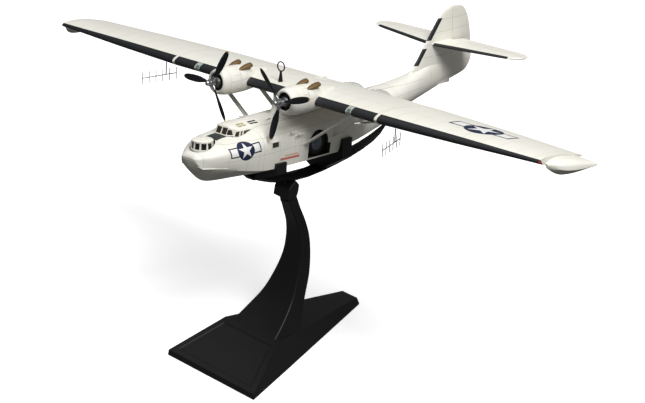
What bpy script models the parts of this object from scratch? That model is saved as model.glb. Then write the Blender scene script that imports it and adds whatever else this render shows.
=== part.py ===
"""Display model of a twin-engined flying boat on its black stand, at 1:72.

Sizes in the tables are millimetres at the model's own scale; the scene is in metres.
The aircraft is drawn level, nose towards -Y, port side at +X, its bow tip at the origin,
and is then held nose up and banked by the empty that stands for the cradle's tilt.
"""

import math

import bmesh
import bpy
from mathutils import Matrix, Vector

MM = 0.001
GAP = 0.3

# Attitude on the stand: the bank turns the aircraft about the stand's knuckle, below the bow tip
NOSE_UP = math.radians(9.6)
BANK = math.radians(5.9)
STAND_HEIGHT = 162.4
KNUCKLE_DROP = 55.0

# Driving dimensions of the aircraft
HALF_SPAN = 220.1
ROOT_CHORD = 63.5
TIP_CHORD = 41.0
WING_LE_Y = 74.5
WING_LE_Z = 30.5
WING_SWEEP = 8.0
WING_INCIDENCE = math.radians(4.8)
WING_THICKNESS = 0.15
JOINT_X = 88.0
FLOAT_X = 208.0
THRUST_X = 29.7
PROP_Y = 52.8
THRUST_Z = 32.3
THRUST_TILT = math.radians(2.3)
PROP_RADIUS = 25.6
WHEEL_Y = 98.0
WHEEL_Z = -4.0
WHEEL_RADIUS = 8.0
WHEEL_X = 18.0
TAIL_Z = 36.5
TAIL_HALF_SPAN = 64.6
HINGE_Y = 247.0
TURRET_Y = 16.6
AERIAL_X = 100.6
AERIAL_Y = 79.9
AERIAL_Z = 18.4
AERIAL_PITCH = 4.95
EXHAUST_FLATNESS = 0.64
SEAT_FLATNESS = 0.7

# Hull sections: y, keel z, chine x, chine z, side x, side z, top z
HULL = (
    (4.9, -4.0, 5.0, -1.6, 5.4, -1.2, -0.6),
    (5.8, -7.4, 6.9, -3.4, 6.9, -1.4, 0.8),
    (8.5, -11.2, 8.8, -6.6, 9.0, -1.6, 2.2),
    (12.5, -15.2, 11.2, -7.2, 12.2, -1.4, 3.6),
    (18.0, -18.1, 14.0, -8.0, 15.6, -0.8, 6.0),
    (26.0, -19.6, 16.8, -9.2, 18.8, -0.3, 8.4),
    (38.0, -20.0, 18.8, -11.4, 20.6, 0.0, 9.2),
    (53.0, -20.2, 20.2, -13.4, 21.4, 0.0, 12.9),
    (75.0, -20.2, 20.6, -13.6, 21.5, 0.0, 14.2),
    (118.0, -20.0, 20.2, -13.4, 21.5, 0.4, 14.6),
    (118.6, -17.6, 20.0, -11.6, 21.5, 0.6, 14.6),
    (140.0, -15.4, 17.6, -9.4, 19.6, 1.4, 14.6),
    (165.0, -12.0, 12.0, -7.0, 15.8, 3.2, 14.8),
    (184.0, -9.2, 5.4, -6.4, 12.0, 5.0, 15.6),
    (184.6, -6.6, 5.4, -4.4, 12.0, 5.0, 15.6),
    (205.0, -1.4, 3.8, 0.6, 8.2, 8.6, 18.6),
    (225.0, 3.6, 2.6, 5.2, 5.0, 12.6, 23.6),
    (246.6, 9.2, 1.4, 10.4, 2.6, 16.0, 25.0),
)

# Wing stations on the port side: x, chord, leading edge aft of the root's, thickness ratio
WING = (
    (JOINT_X + 0.0, ROOT_CHORD, 0.0, 0.15),
    (JOINT_X + 60.0, 54.0, 3.6, 0.145),
    (FLOAT_X - 20.0, 45.0, 6.8, 0.135),
    (FLOAT_X, TIP_CHORD, WING_SWEEP, 0.125),
)

# Retracted tip float, a small hull lying on its side: y, inner x, outer x, top z, chine z, keel x, keel z
FLOAT = (
    (88.0, 208.4, 210.4, 29.0, 27.8, 209.4, 26.4),
    (91.0, 208.4, 214.6, 30.4, 26.6, 211.8, 23.8),
    (96.0, 208.4, 218.2, 31.2, 25.6, 213.0, 21.8),
    (103.0, 208.4, 219.9, 30.8, 25.0, 213.8, 21.0),
    (110.0, 208.4, 220.1, 29.6, 24.5, 214.6, 21.0),
    (117.0, 208.4, 220.1, 28.0, 24.2, 215.6, 21.8),
    (121.0, 211.5, 220.1, 26.6, 24.0, 217.0, 22.6),
    (123.6, 216.6, 219.6, 24.8, 23.8, 218.2, 23.2),
)

# Fin sections: z, leading edge y, trailing edge y, half thickness
FIN = (
    (15.0, 202.0, 268.0, 3.0),
    (20.5, 208.0, 269.6, 2.8),
    (27.0, 214.0, 269.4, 2.5),
    (36.5, 221.0, 268.2, 2.2),
    (46.0, 228.0, 266.2, 1.9),
    (53.0, 233.6, 263.4, 1.6),
    (57.5, 238.6, 260.0, 1.3),
    (59.4, 243.0, 257.0, 1.0),
    (60.0, 246.6, 253.6, 0.8),
)

# Half sections, blunt at both ends: distance aft and width, each as a share
FIN_SECTION = ((0.0, 0.12), (0.04, 0.5), (0.15, 0.85), (0.35, 1.0), (0.65, 0.75), (1.0, 0.16))
TAIL_SECTION = ((0.0, 0.12), (0.05, 0.6), (0.18, 0.9), (0.4, 1.0), (0.7, 0.7), (1.0, 0.2))

# The rudder goes on below the fin, in the same way
RUDDER_FOOT = (
    (9.6, 202.0, 249.0, 2.4),
    (11.6, 202.0, 258.0, 2.6),
    (13.9, 202.0, 264.6, 2.8),
)

# Tailplane stations on the port side: x, leading edge y, trailing edge y, thickness
TAIL = (
    (0.6, 226.2, 257.0, 3.4),
    (20.0, 230.2, 257.0, 3.2),
    (40.0, 234.4, 256.8, 2.7),
    (55.0, 237.6, 256.4, 2.2),
    (61.0, 240.6, 254.6, 1.8),
    (64.0, 244.6, 251.6, 1.4),
    (TAIL_HALF_SPAN, 246.8, 249.4, 1.0),
)

# Canopy sections: y, half width at its foot, foot z, half width at its shoulder, shoulder z, top z
CANOPY = (
    (31.8, 5.6, 7.4, 5.2, 8.9, 9.2),
    (34.2, 7.6, 7.2, 4.8, 14.0, 14.5),
    (37.5, 10.2, 7.2, 8.8, 12.5, 15.0),
    (43.0, 10.9, 8.2, 9.6, 12.4, 15.3),
    (49.0, 10.9, 9.8, 9.8, 12.2, 15.2),
    (58.0, 10.4, 10.8, 9.6, 12.4, 14.9),
    (70.0, 8.4, 10.8, 7.6, 13.0, 14.5),
)

# Cockpit's side windows in profile: y, z
SIDE_WINDOWS = (
    ((35.9, 8.9), (38.3, 8.7), (39.6, 11.7), (37.2, 11.7)),
    ((39.2, 8.9), (40.8, 9.3), (41.9, 11.7), (40.4, 11.7)),
    ((41.7, 9.5), (48.2, 11.2), (48.0, 11.7), (42.6, 11.7)),
)

# Pylon sections: z, front y, rear y, half width
PYLON = (
    (8.0, 72.0, 140.0, 11.0),
    (13.0, 75.0, 136.0, 8.6),
    (18.0, 78.0, 130.0, 6.8),
    (24.0, 79.0, 126.0, 6.2),
    (36.0, 78.0, 126.0, 6.4),
)

# Nacelle along the thrust axis from the propeller's plane: distance, radius
NACELLE = ((17.8, 8.9), (24.0, 8.7), (32.0, 7.8), (40.0, 6.4), (48.0, 4.4), (53.0, 2.4), (55.0, 0.6))
COWL_OUTSIDE = ((4.0, 5.6), (3.2, 6.2), (3.4, 7.0), (4.8, 8.0), (8.0, 8.7), (12.0, 9.0), (17.5, 8.9))
COWL_INSIDE = ((17.5, 8.2), (8.0, 8.0), (5.4, 6.6))

# Propeller blade, root to tip: radius, chord, thickness, pitch angle
BLADE = (
    (1.6, 1.5, 1.5, 40.0),
    (5.2, 1.5, 1.4, 38.0),
    (8.0, 2.6, 1.1, 30.0),
    (12.0, 3.7, 0.8, 22.0),
    (18.0, 3.9, 0.6, 15.0),
    (23.0, 3.0, 0.45, 12.0),
    (25.0, 1.7, 0.35, 11.0),
    (PROP_RADIUS, 0.7, 0.3, 10.0),
)
PORT_BLADE_ANGLE = math.radians(136.4)
STARBOARD_BLADE_ANGLE = math.radians(61.3)

# Stand base: y, half width below, half width above, top z
BASE = (
    (13.2, 39.2, 38.6, 4.4),
    (51.5, 30.6, 24.2, 18.6),
    (145.8, 8.8, 6.6, 4.4),
)

# Stand neck: z, front y, rear y, half width
NECK = (
    (12.0, 40.0, 75.0, 21.6),
    (18.0, 53.0, 79.0, 19.2),
    (25.0, 64.0, 82.4, 16.6),
    (34.0, 75.3, 88.5, 13.3),
    (46.0, 83.5, 95.4, 10.4),
    (58.0, 88.6, 99.0, 8.1),
    (70.0, 90.4, 99.8, 6.7),
    (82.0, 89.4, 97.6, 5.6),
    (94.0, 85.6, 93.4, 4.7),
    (107.0, 81.4, 88.8, 4.6),
)

# Knuckle at the neck's top, in profile: y, z
KNUCKLE = (
    (79.0, 105.6),
    (80.4, 111.8),
    (82.4, 113.8),
    (87.4, 116.6),
    (90.5, 112.6),
    (89.5, 107.4),
    (87.3, 103.6),
)
KNUCKLE_HALF_WIDTH = 6.5

# Cradle beam under the keel, in the aircraft's frame: y, bottom z, top z, half width
CRADLE = (
    (53.0, -21.0, -20.4, 1.2),
    (58.0, -24.2, -21.4, 2.5),
    (66.0, -27.4, -23.0, 4.0),
    (74.0, -29.8, -24.5, 4.9),
    (84.0, -32.0, -26.4, 5.5),
    (96.0, -33.2, -27.7, 5.8),
    (110.0, -33.2, -27.7, 5.8),
    (124.0, -31.8, -26.2, 5.6),
    (136.0, -30.0, -24.5, 5.2),
    (148.0, -27.9, -22.6, 4.8),
    (160.0, -25.0, -19.9, 4.3),
    (170.0, -21.8, -17.0, 3.7),
    (178.0, -18.0, -13.9, 2.7),
    (184.4, -13.4, -10.9, 1.3),
)

# Cradle brackets that hold the hull: front y, rear y, half width, top z, the side's bottom z,
# and the half width and z where they meet the beam
BRACKETS = (
    (59.5, 68.2, 23.0, -10.2, -17.4, 3.4, -25.4),
    (119.2, 128.0, 22.8, -5.0, -18.0, 4.4, -29.0),
)


def clear_scene():
    for old in list(bpy.data.objects):
        bpy.data.objects.remove(old, do_unlink=True)


def material(name, colour, roughness, metallic=0.0):
    """One finish: a Principled BSDF with its colour, roughness and metallic value."""
    made = bpy.data.materials.new(name)
    made.use_nodes = True
    shader = made.node_tree.nodes["Principled BSDF"]
    shader.inputs["Base Color"].default_value = (*colour, 1.0)
    shader.inputs["Roughness"].default_value = roughness
    shader.inputs["Metallic"].default_value = metallic
    return made


def empty(name, parent=None):
    made = bpy.data.objects.new(name, None)
    bpy.context.scene.collection.objects.link(made)
    made.parent = parent
    return made


def solid(name, mesh, finish, parent):
    """Turns a bmesh drawn in millimetres into one named object in metres."""
    bmesh.ops.recalc_face_normals(mesh, faces=mesh.faces)
    bmesh.ops.scale(mesh, vec=(MM, MM, MM), verts=mesh.verts)
    data = bpy.data.meshes.new(name)
    mesh.to_mesh(data)
    mesh.free()
    made = bpy.data.objects.new(name, data)
    bpy.context.scene.collection.objects.link(made)
    made.parent = parent
    if finish:
        data.materials.append(finish)
    return made


def cutter(name, mesh, parent):
    """A solid that only shapes others, so it is left out of the model."""
    made = solid(name, mesh, None, parent)
    made.hide_render = True
    made.display_type = "WIRE"
    return made


def combine(target, tool, operation):
    step = target.modifiers.new(operation.title() + " " + tool.name, "BOOLEAN")
    step.operation = operation
    step.solver = "EXACT"
    step.object = tool


def skin(mesh, rings):
    """Skins closed rings of equal length one after another and caps both ends."""
    loops = [[mesh.verts.new(point) for point in ring] for ring in rings]
    count = len(loops[0])
    for low, high in zip(loops, loops[1:]):
        for i in range(count):
            j = (i + 1) % count
            mesh.faces.new((low[i], low[j], high[j], high[i]))
    mesh.faces.new(loops[0])
    mesh.faces.new(loops[-1])


def loft(rings):
    mesh = bmesh.new()
    skin(mesh, rings)
    return mesh


def box(low, high):
    mesh = bmesh.new()
    bmesh.ops.create_cube(mesh, size=1.0)
    size = Vector(high) - Vector(low)
    middle = (Vector(high) + Vector(low)) / 2
    bmesh.ops.scale(mesh, vec=size, verts=mesh.verts)
    bmesh.ops.translate(mesh, vec=middle, verts=mesh.verts)
    return mesh


def turned(outline, segments=24):
    """Spins an outline of (distance, radius) points about the Y axis into a closed body."""
    rings = []
    for step in range(segments):
        angle = 2 * math.pi * step / segments
        rings.append([(r * math.cos(angle), y, r * math.sin(angle)) for y, r in outline])
    mesh = bmesh.new()
    loops = [[mesh.verts.new(point) for point in ring] for ring in rings]
    count = len(outline)
    for step in range(segments):
        low = loops[step]
        high = loops[(step + 1) % segments]
        for i in range(count):
            j = (i + 1) % count
            if outline[i][1] or outline[j][1]:
                mesh.faces.new((low[i], low[j], high[j], high[i]))
    bmesh.ops.remove_doubles(mesh, verts=mesh.verts, dist=0.0005)
    bmesh.ops.dissolve_degenerate(mesh, edges=mesh.edges, dist=0.0005)
    return mesh


def closed(profile):
    """Ends a turned profile on the axis, so that the body is solid."""
    return ((profile[0][0], 0.0),) + tuple(profile) + ((profile[-1][0], 0.0),)


def rod(start, end, radius, sides=8, flat=1.0, end_radius=None):
    """A round or flattened rod between two points; flat scales its second radius."""
    start = Vector(start)
    end = Vector(end)
    along = end - start
    mesh = bmesh.new()
    bmesh.ops.create_cone(
        mesh,
        cap_ends=True,
        segments=sides,
        radius1=radius,
        radius2=radius if end_radius is None else end_radius,
        depth=along.length,
    )
    bmesh.ops.scale(mesh, vec=(1.0, flat, 1.0), verts=mesh.verts)
    turn = along.to_track_quat("Z", "Y").to_matrix().to_4x4()
    place = Matrix.Translation((start + end) / 2) @ turn
    bmesh.ops.transform(mesh, matrix=place, verts=mesh.verts)
    return mesh


def merged(meshes):
    """Puts several bmeshes into one; their bodies stay apart."""
    whole = bmesh.new()
    for mesh in meshes:
        data = bpy.data.meshes.new("part")
        mesh.to_mesh(data)
        mesh.free()
        whole.from_mesh(data)
        bpy.data.meshes.remove(data)
    return whole


def offset_outline(points, grow):
    """Moves a closed flat outline outwards by grow."""
    if not grow:
        return points
    area = sum(a[0] * b[1] - b[0] * a[1] for a, b in zip(points, points[1:] + points[:1]))
    turn = 1.0 if area > 0 else -1.0
    moved = []
    for i, here in enumerate(points):
        back = Vector(points[i - 1])
        ahead = Vector(points[(i + 1) % len(points)])
        here = Vector(here)
        first = (here - back).normalized()
        second = (ahead - here).normalized()
        normal = Vector((first.y + second.y, -first.x - second.x)) * turn
        normal.normalize()
        lean = max(0.5, normal.dot(Vector((first.y, -first.x)) * turn))
        moved.append(tuple(here + normal * grow / lean))
    return moved


def hull_ring(row, grow=0.0):
    y, keel, chine_x, chine_z, side_x, side_z, top = row
    half = [(0.0, keel), (0.55 * chine_x, keel + 0.42 * (chine_z - keel)), (chine_x, chine_z)]
    half.append((0.25 * chine_x + 0.75 * side_x, 0.5 * (chine_z + side_z)))
    half.append((side_x, side_z))
    for step in range(1, 6):
        angle = math.pi / 2 * step / 6
        half.append((side_x * math.cos(angle) ** 0.8, side_z + (top - side_z) * math.sin(angle) ** 0.9))
    outline = half + [(0.0, top)] + [(-x, z) for x, z in reversed(half[1:])]
    return [(x, y, z) for x, z in offset_outline(outline, grow)]


def hull_solid(grow=0.0):
    rings = [hull_ring(row, grow) for row in HULL]
    rings[0] = [(x, y - grow, z) for x, y, z in rings[0]]
    rings[-1] = [(x, y + 4 * grow, z) for x, y, z in rings[-1]]
    return loft(rings)


FOIL_STEPS = (0.0, 0.02, 0.07, 0.16, 0.3, 0.48, 0.7, 1.0)


def foil(chord, ratio, start=0.0, end=1.0, grow=0.0):
    """Section as (distance aft, height): a four-digit thickness form with a blunt trailing edge."""
    steps = [start + (end - start) * s for s in FOIL_STEPS]

    def height(s):
        form = 0.2969 * math.sqrt(s) - 0.126 * s - 0.3516 * s**2 + 0.2843 * s**3 - 0.1015 * s**4
        return 5 * ratio * chord * form + 0.3 * s

    def camber(s):
        return 0.06 * chord * s * (1 - s)

    over = [(s * chord, camber(s) + height(s)) for s in steps]
    under = [(s * chord, camber(s) - height(s)) for s in steps]
    outline = over + list(reversed(under))
    if start == 0.0:
        outline.pop()
    return offset_outline(outline, grow)


def wing_ring(x, le_y, le_z, chord, ratio, side=1, grow=0.0):
    drop = math.sin(WING_INCIDENCE)
    run = math.cos(WING_INCIDENCE)
    return [
        (side * x, le_y + a * run + b * drop, le_z - a * drop + b * run)
        for a, b in foil(chord, ratio, grow=grow)
    ]


def wing_solid(stations, side=1, grow=0.0):
    rings = []
    for x, chord, aft, ratio in stations:
        rings.append(wing_ring(x, WING_LE_Y + aft, WING_LE_Z, chord, ratio, side, grow))
    return loft(rings)


def thrust_matrix(side):
    """Places a body drawn along +Y from the propeller's plane on its thrust axis."""
    return Matrix.Translation((side * THRUST_X, PROP_Y, THRUST_Z)) @ Matrix.Rotation(-THRUST_TILT, 4, "X")


def placed(mesh, matrix):
    bmesh.ops.transform(mesh, matrix=matrix, verts=mesh.verts)
    return mesh


def side_name(side):
    return "port" if side > 0 else "starboard"


class Builder:
    """Holds the finishes, the two parents and the cutters that several pieces share."""

    def __init__(self):
        self.white = material("warm white paint", (0.82, 0.78, 0.68), 0.45)
        self.black = material("black boot rubber", (0.02, 0.025, 0.03), 0.6)
        self.plastic = material("black stand plastic", (0.012, 0.012, 0.013), 0.35)
        self.silver = material("silver paint", (0.62, 0.63, 0.64), 0.3, 0.9)
        self.brown = material("burnt exhaust brown", (0.16, 0.09, 0.05), 0.55, 0.3)
        self.glass = material("tinted clear plastic", (0.12, 0.13, 0.12), 0.08)
        self.dark = material("dark interior", (0.05, 0.055, 0.045), 0.7)
        self.tyre = material("tyre rubber", (0.02, 0.02, 0.022), 0.8)
        self.grey = material("bluish grey metal", (0.32, 0.36, 0.42), 0.4, 0.4)
        self.display = empty("display")
        self.aircraft = empty("aircraft", self.display)
        aside = -KNUCKLE_DROP * math.sin(BANK)
        height = STAND_HEIGHT - KNUCKLE_DROP * (1.0 - math.cos(BANK))
        self.aircraft.location = (aside * MM, 0.0, height * MM)
        self.aircraft.rotation_euler = (-NOSE_UP, -BANK, 0.0)

    def piece(self, name, mesh, finish):
        return solid(name, mesh, finish, self.aircraft)

    def tool(self, name, mesh):
        return cutter(name, mesh, self.aircraft)

    def cutters(self):
        centre = [(-JOINT_X - 1, ROOT_CHORD, 0.0, WING_THICKNESS), (JOINT_X, ROOT_CHORD, 0.0, WING_THICKNESS)]
        self.wing_cut = self.tool("wing clearance", wing_solid(centre, grow=GAP))
        self.hull_cut = self.tool("hull clearance", hull_solid(GAP))

    def hull(self):
        hull = self.piece("hull", hull_solid(), self.white)
        bays = []
        for side in (1, -1):
            radius = WHEEL_RADIUS + 0.9
            rear = WHEEL_Y + radius
            outline = [(rear, -5.0), (rear + 2.6, -5.2), (rear + 2.6, -12.7), (WHEEL_Y - radius, -12.7)]
            for step in range(11):
                angle = math.pi * (1 - step / 10)
                outline.append((WHEEL_Y + radius * math.cos(angle), WHEEL_Z + radius * math.sin(angle)))
            rings = [[(side * x, y, z) for y, z in outline] for x in (12.8, 24.0)]
            bays.append(self.tool("wheel bay " + side_name(side), loft(rings)))
        turret_well = rod((0, TURRET_Y, -4.0), (0, TURRET_Y, 12.0), 7.9, sides=24)
        bays.append(self.tool("turret well", turret_well))
        bays.append(self.tool("cockpit well", box((-8.0, 34.6, -4.0), (8.0, 48.0, 16.0))))
        bays.append(self.tool("waist well", box((-26.0, 151.0, 3.5), (26.0, 169.0, 12.0))))
        for bay in bays:
            combine(hull, bay, "DIFFERENCE")

    def wings(self):
        root = (ROOT_CHORD, 0.0, WING_THICKNESS)
        middle = [(-JOINT_X, *root), (JOINT_X - GAP, *root)]
        centre = self.piece("wing_centre", wing_solid(middle), self.white)
        for side in (1, -1):
            low = (min(side * 64.4, side * 68.4), WING_LE_Y - 3.0, WING_LE_Z - 5.0)
            high = (max(side * 64.4, side * 68.4), WING_LE_Y + 4.0, WING_LE_Z + 5.0)
            grown_low = tuple(v - GAP for v in low)
            grown_high = tuple(v + GAP for v in high)
            seat = self.tool("lamp seat " + side_name(side), box(grown_low, grown_high))
            combine(centre, seat, "DIFFERENCE")
            lamp = self.piece("landing_light_" + side_name(side), wing_solid(middle), self.glass)
            combine(lamp, self.tool("lamp block " + side_name(side), box(low, high)), "INTERSECT")
            stations = list(WING)
            if side < 0:
                stations[0] = (JOINT_X + GAP, *stations[0][1:])
            self.piece("wing_outer_" + side_name(side), wing_solid(stations, side), self.white)
            self.tip_float(side)

    def tip_float(self, side):
        """The retracted float, which lies along the wing's tip with its keel down and out."""
        rings = []
        for y, inner, outer, top, chine, keel_x, keel in FLOAT:
            middle = 0.5 * (inner + outer)
            ring = [(inner, 0.5 * (top + keel)), (inner, top), (middle, top - 0.1 * (top - chine))]
            ring += [(0.2 * middle + 0.8 * outer, 0.45 * top + 0.55 * chine), (outer, chine)]
            ring += [(0.4 * outer + 0.6 * keel_x, 0.42 * chine + 0.58 * keel), (keel_x, keel)]
            rings.append([(side * x, y, z) for x, z in ring])
        self.piece("tip_float_" + side_name(side), loft(rings), self.white)

    def pylon(self):
        rings = []
        for z, front, rear, half in PYLON:
            length = rear - front
            ring = [(half * w, front + length * along, z) for along, w in self.streamline()]
            rings.append(ring)
        pylon = self.piece("pylon", loft(rings), self.white)
        combine(pylon, self.wing_cut, "DIFFERENCE")
        combine(pylon, self.hull_cut, "DIFFERENCE")
        above = self.tool("pylon trim", box((-20.0, 60.0, WING_LE_Z - 3.5), (20.0, 150.0, 45.0)))
        combine(pylon, above, "DIFFERENCE")

    @staticmethod
    def streamline():
        half = ((0.0, 0.0), (0.03, 0.42), (0.12, 0.8), (0.3, 1.0), (0.55, 0.94), (0.8, 0.55), (1.0, 0.08))
        return half + tuple((a, -w) for a, w in reversed(half[1:]))

    def nacelles(self):
        for side, angle in ((1, PORT_BLADE_ANGLE), (-1, STARBOARD_BLADE_ANGLE)):
            name = side_name(side)
            place = thrust_matrix(side)
            body = self.piece("nacelle_" + name, placed(turned(closed(NACELLE)), place), self.white)
            combine(body, self.wing_cut, "DIFFERENCE")
            self.piece("cowl_" + name, placed(turned(COWL_OUTSIDE + COWL_INSIDE), place), self.white)
            self.engine(name, place)
            self.exhausts(side, name, body)
            self.propeller(side, name, angle, place)

    def engine(self, name, place):
        case = closed(((2.4, 1.9), (3.4, 3.0), (6.0, 3.6), (9.6, 3.6)))
        engine = self.piece("engine_" + name, placed(turned(case, 16), place), self.black)
        cylinders = []
        for step in range(9):
            angle = 2 * math.pi * (step + 0.5) / 9
            way = Vector((math.cos(angle), 0.0, math.sin(angle)))
            inner = way * 2.9 + Vector((0.0, 8.6, 0.0))
            outer = way * 7.3 + Vector((0.0, 8.6, 0.0))
            cylinders.append(rod(inner, outer, 0.85, sides=6))
        combine(engine, self.tool("cylinders " + name, placed(merged(cylinders), place)), "UNION")
        plate = turned(closed(((9.0, 7.6), (10.4, 7.6))), 24)
        combine(engine, self.tool("firewall " + name, placed(plate, place)), "UNION")
        bore = rod((0, 1.0, 0), (0, 4.6, 0), 1.3, sides=12)
        combine(engine, self.tool("shaft bore " + name, placed(bore, place)), "DIFFERENCE")

    def exhausts(self, side, name, body):
        """Two flattened outlets on top of each nacelle, sunk in seats cut in it."""
        seats = []
        for place, across in (("inner", -4.7), ("outer", 4.7)):
            across *= side
            x = side * THRUST_X + across
            start = (x, 70.9, 38.3)
            end = (x + 0.1 * across, 80.4, 40.3)
            outlet = rod(start, end, 1.3, 10, EXHAUST_FLATNESS, 2.4)
            self.piece("exhaust_%s_%s" % (place, name), outlet, self.brown)
            seats.append(rod((x, 70.6, 38.2), (x + 0.11 * across, 81.6, 40.55), 1.7, 10, SEAT_FLATNESS, 2.85))
        combine(body, self.tool("exhaust seats " + name, merged(seats)), "DIFFERENCE")

    def propeller(self, side, name, first_angle, place):
        dome = closed(((-5.4, 0.7), (-5.0, 1.4), (-4.2, 1.7), (-2.2, 1.8)))
        self.piece("spinner_" + name, placed(turned(dome, 16), place), self.silver)
        boss = closed(((-1.9, 2.0), (-1.4, 2.6), (1.3, 2.6), (1.8, 2.0), (1.9, 1.0), (4.2, 1.0)))
        propeller = self.piece("propeller_" + name, placed(turned(boss, 16), place), self.black)
        blades = []
        for k in range(3):
            blades.append(self.blade(first_angle + 2 * math.pi * k / 3, side))
        combine(propeller, self.tool("blades " + name, placed(merged(blades), place)), "UNION")

    @staticmethod
    def blade(angle, hand):
        way = Vector((math.cos(angle), 0.0, math.sin(angle)))
        across = Vector((-math.sin(angle), 0.0, math.cos(angle)))
        rings = []
        for radius, chord, thick, pitch in BLADE:
            pitch = math.radians(pitch)
            ring = []
            for step in range(8):
                turn = 2 * math.pi * step / 8
                a = 0.5 * chord * math.cos(turn)
                b = 0.5 * thick * math.sin(turn)
                wide = a * math.cos(pitch) - hand * b * math.sin(pitch)
                deep = b * math.cos(pitch) + hand * a * math.sin(pitch)
                ring.append(tuple(way * radius + across * wide + Vector((0, deep, 0))))
            rings.append(ring)
        return loft(rings)

    def struts(self):
        """Two streamlined struts a side, from the hull's flank to the wing's underside."""
        for side in (1, -1):
            for place, y in (("front", 85.5), ("rear", 113.0)):
                low = (side * 17.0, y, -5.6)
                high = (side * 64.0, y, 28.6)
                mesh = rod(low, high, 1.0, sides=10, flat=1.0)
                about = Matrix.Translation((0, -y, 0))
                bmesh.ops.scale(mesh, vec=(1.0, 1.7, 1.0), verts=mesh.verts, space=about)
                strut = self.piece("strut_" + place + "_" + side_name(side), mesh, self.white)
                combine(strut, self.wing_cut, "DIFFERENCE")
                combine(strut, self.hull_cut, "DIFFERENCE")
                inside = box((-16.5, y - 9, -10), (16.5, y + 9, 6))
                combine(strut, self.tool("strut trim " + place + side_name(side), inside), "DIFFERENCE")

    def tail(self):
        fin = self.piece("fin", loft(self.fin_rings(FIN)), self.white)
        combine(fin, self.hull_cut, "DIFFERENCE")
        aft = self.tool("rudder space", box((-10.0, HINGE_Y - GAP, 0.0), (10.0, 280.0, 70.0)))
        combine(fin, aft, "DIFFERENCE")
        rudder = self.piece("rudder", loft(self.fin_rings(RUDDER_FOOT + FIN[1:])), self.white)
        ahead = self.tool("fin space", box((-10.0, 190.0, 0.0), (10.0, HINGE_Y, 70.0)))
        combine(rudder, ahead, "DIFFERENCE")
        fin_cut = self.tool("fin clearance", loft(self.fin_rings(FIN, GAP)))
        for side in (1, -1):
            name = side_name(side)
            front = self.piece("tailplane_" + name, self.tail_solid(side), self.white)
            combine(front, fin_cut, "DIFFERENCE")
            low = (min(side * 0.0, side * 70.0), HINGE_Y - GAP, 30.0)
            high = (max(side * 0.0, side * 70.0), 265.0, 43.0)
            combine(front, self.tool("elevator space " + name, box(low, high)), "DIFFERENCE")
            back = self.piece("elevator_" + name, self.tail_solid(side), self.white)
            combine(back, fin_cut, "DIFFERENCE")
            low = (min(side * 0.0, side * 70.0), 215.0, 30.0)
            high = (max(side * 0.0, side * 70.0), HINGE_Y, 43.0)
            combine(back, self.tool("tailplane space " + name, box(low, high)), "DIFFERENCE")

    @staticmethod
    def fin_rings(rows, grow=0.0):
        rings = []
        for z, front, rear, half in rows:
            outline = [(half * w, front + (rear - front) * along) for along, w in FIN_SECTION]
            outline += [(-x, y) for x, y in reversed(outline)]
            rings.append([(x, y, z) for x, y in offset_outline(outline, grow)])
        return rings

    @staticmethod
    def tail_solid(side):
        rings = []
        for x, front, rear, thick in TAIL:
            outline = [(front + (rear - front) * along, 0.5 * thick * w) for along, w in TAIL_SECTION]
            outline += [(y, -z) for y, z in reversed(outline)]
            rings.append([(side * x, y, TAIL_Z + z) for y, z in outline])
        return loft(rings)

    @staticmethod
    def canopy_rings(grow=0.0):
        rings = []
        for y, half, foot, shoulder, shoulder_z, top in CANOPY:
            outline = [(half, foot - 4.0), (half, foot), (shoulder, shoulder_z)]
            for across, rise in ((0.82, 0.55), (0.42, 0.92)):
                outline.append((shoulder * across, shoulder_z + rise * (top - shoulder_z)))
            outline += [(-x, z) for x, z in reversed(outline)]
            rings.append([(x, y, z) for x, z in offset_outline(outline, grow)])
        return rings

    def canopy(self):
        wall = 0.8
        canopy = self.piece("canopy", loft(self.canopy_rings()), self.white)
        inside = self.canopy_rings(-wall)
        inside[0] = [(x, y + 1.2, z) for x, y, z in inside[0]]
        inside[1] = [(x, y + 1.2, z) for x, y, z in inside[1]]
        combine(canopy, self.tool("canopy inside", loft(inside[:5])), "DIFFERENCE")
        combine(canopy, self.hull_cut, "DIFFERENCE")
        combine(canopy, self.tool("under canopy", box((-20, 20, -10), (20, 80, 7.0))), "DIFFERENCE")
        panes = []
        for side in (1, -1):
            across = sorted((side * 0.35, side * 4.5))
            panes.append(box((across[0], 28.0, 9.6), (across[1], 34.9, 13.5)))
            for row in (0, 1):
                for column in (0, 1):
                    x = side * (3.9 + 2.15 * row)
                    y = 40.4 + 3.3 * column
                    across = sorted((x, x + side * 1.8))
                    panes.append(box((across[0], y, 11.6), (across[1], y + 2.9, 17.0)))
            for window in SIDE_WINDOWS:
                panes.append(loft([[(side * x, y, z) for y, z in window] for x in (6.0, 14.0)]))
        combine(canopy, self.tool("canopy windows", merged(panes)), "DIFFERENCE")

    def turret(self):
        centre = Matrix.Translation((0.0, TURRET_Y, 0.0)) @ Matrix.Rotation(math.radians(-90), 4, "X")
        wall = ((-2.4, 7.5), (-8.2, 6.7), (-8.2, 6.1), (-2.4, 6.9))
        frame = self.piece("bow_turret_wall", placed(turned(wall, 20), centre), self.white)
        windows = []
        for step in range(10):
            angle = 2 * math.pi * step / 10
            mesh = box((4.5, -1.6, 3.7), (9.0, 1.6, 7.7))
            turn = Matrix.Translation((0.0, TURRET_Y, 0.0)) @ Matrix.Rotation(angle, 4, "Z")
            windows.append(placed(mesh, turn))
        combine(frame, self.tool("turret windows", merged(windows)), "DIFFERENCE")
        glass = ((-1.0, 6.6), (-8.1, 5.8), (-8.1, 5.4), (-1.0, 6.2))
        self.piece("bow_turret_glass", placed(turned(glass, 20), centre), self.glass)
        roof = closed(((-8.5, 6.8), (-8.9, 6.4), (-9.3, 4.8), (-9.5, 2.6)))
        self.piece("bow_turret_roof", placed(turned(roof, 20), centre), self.white)

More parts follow.
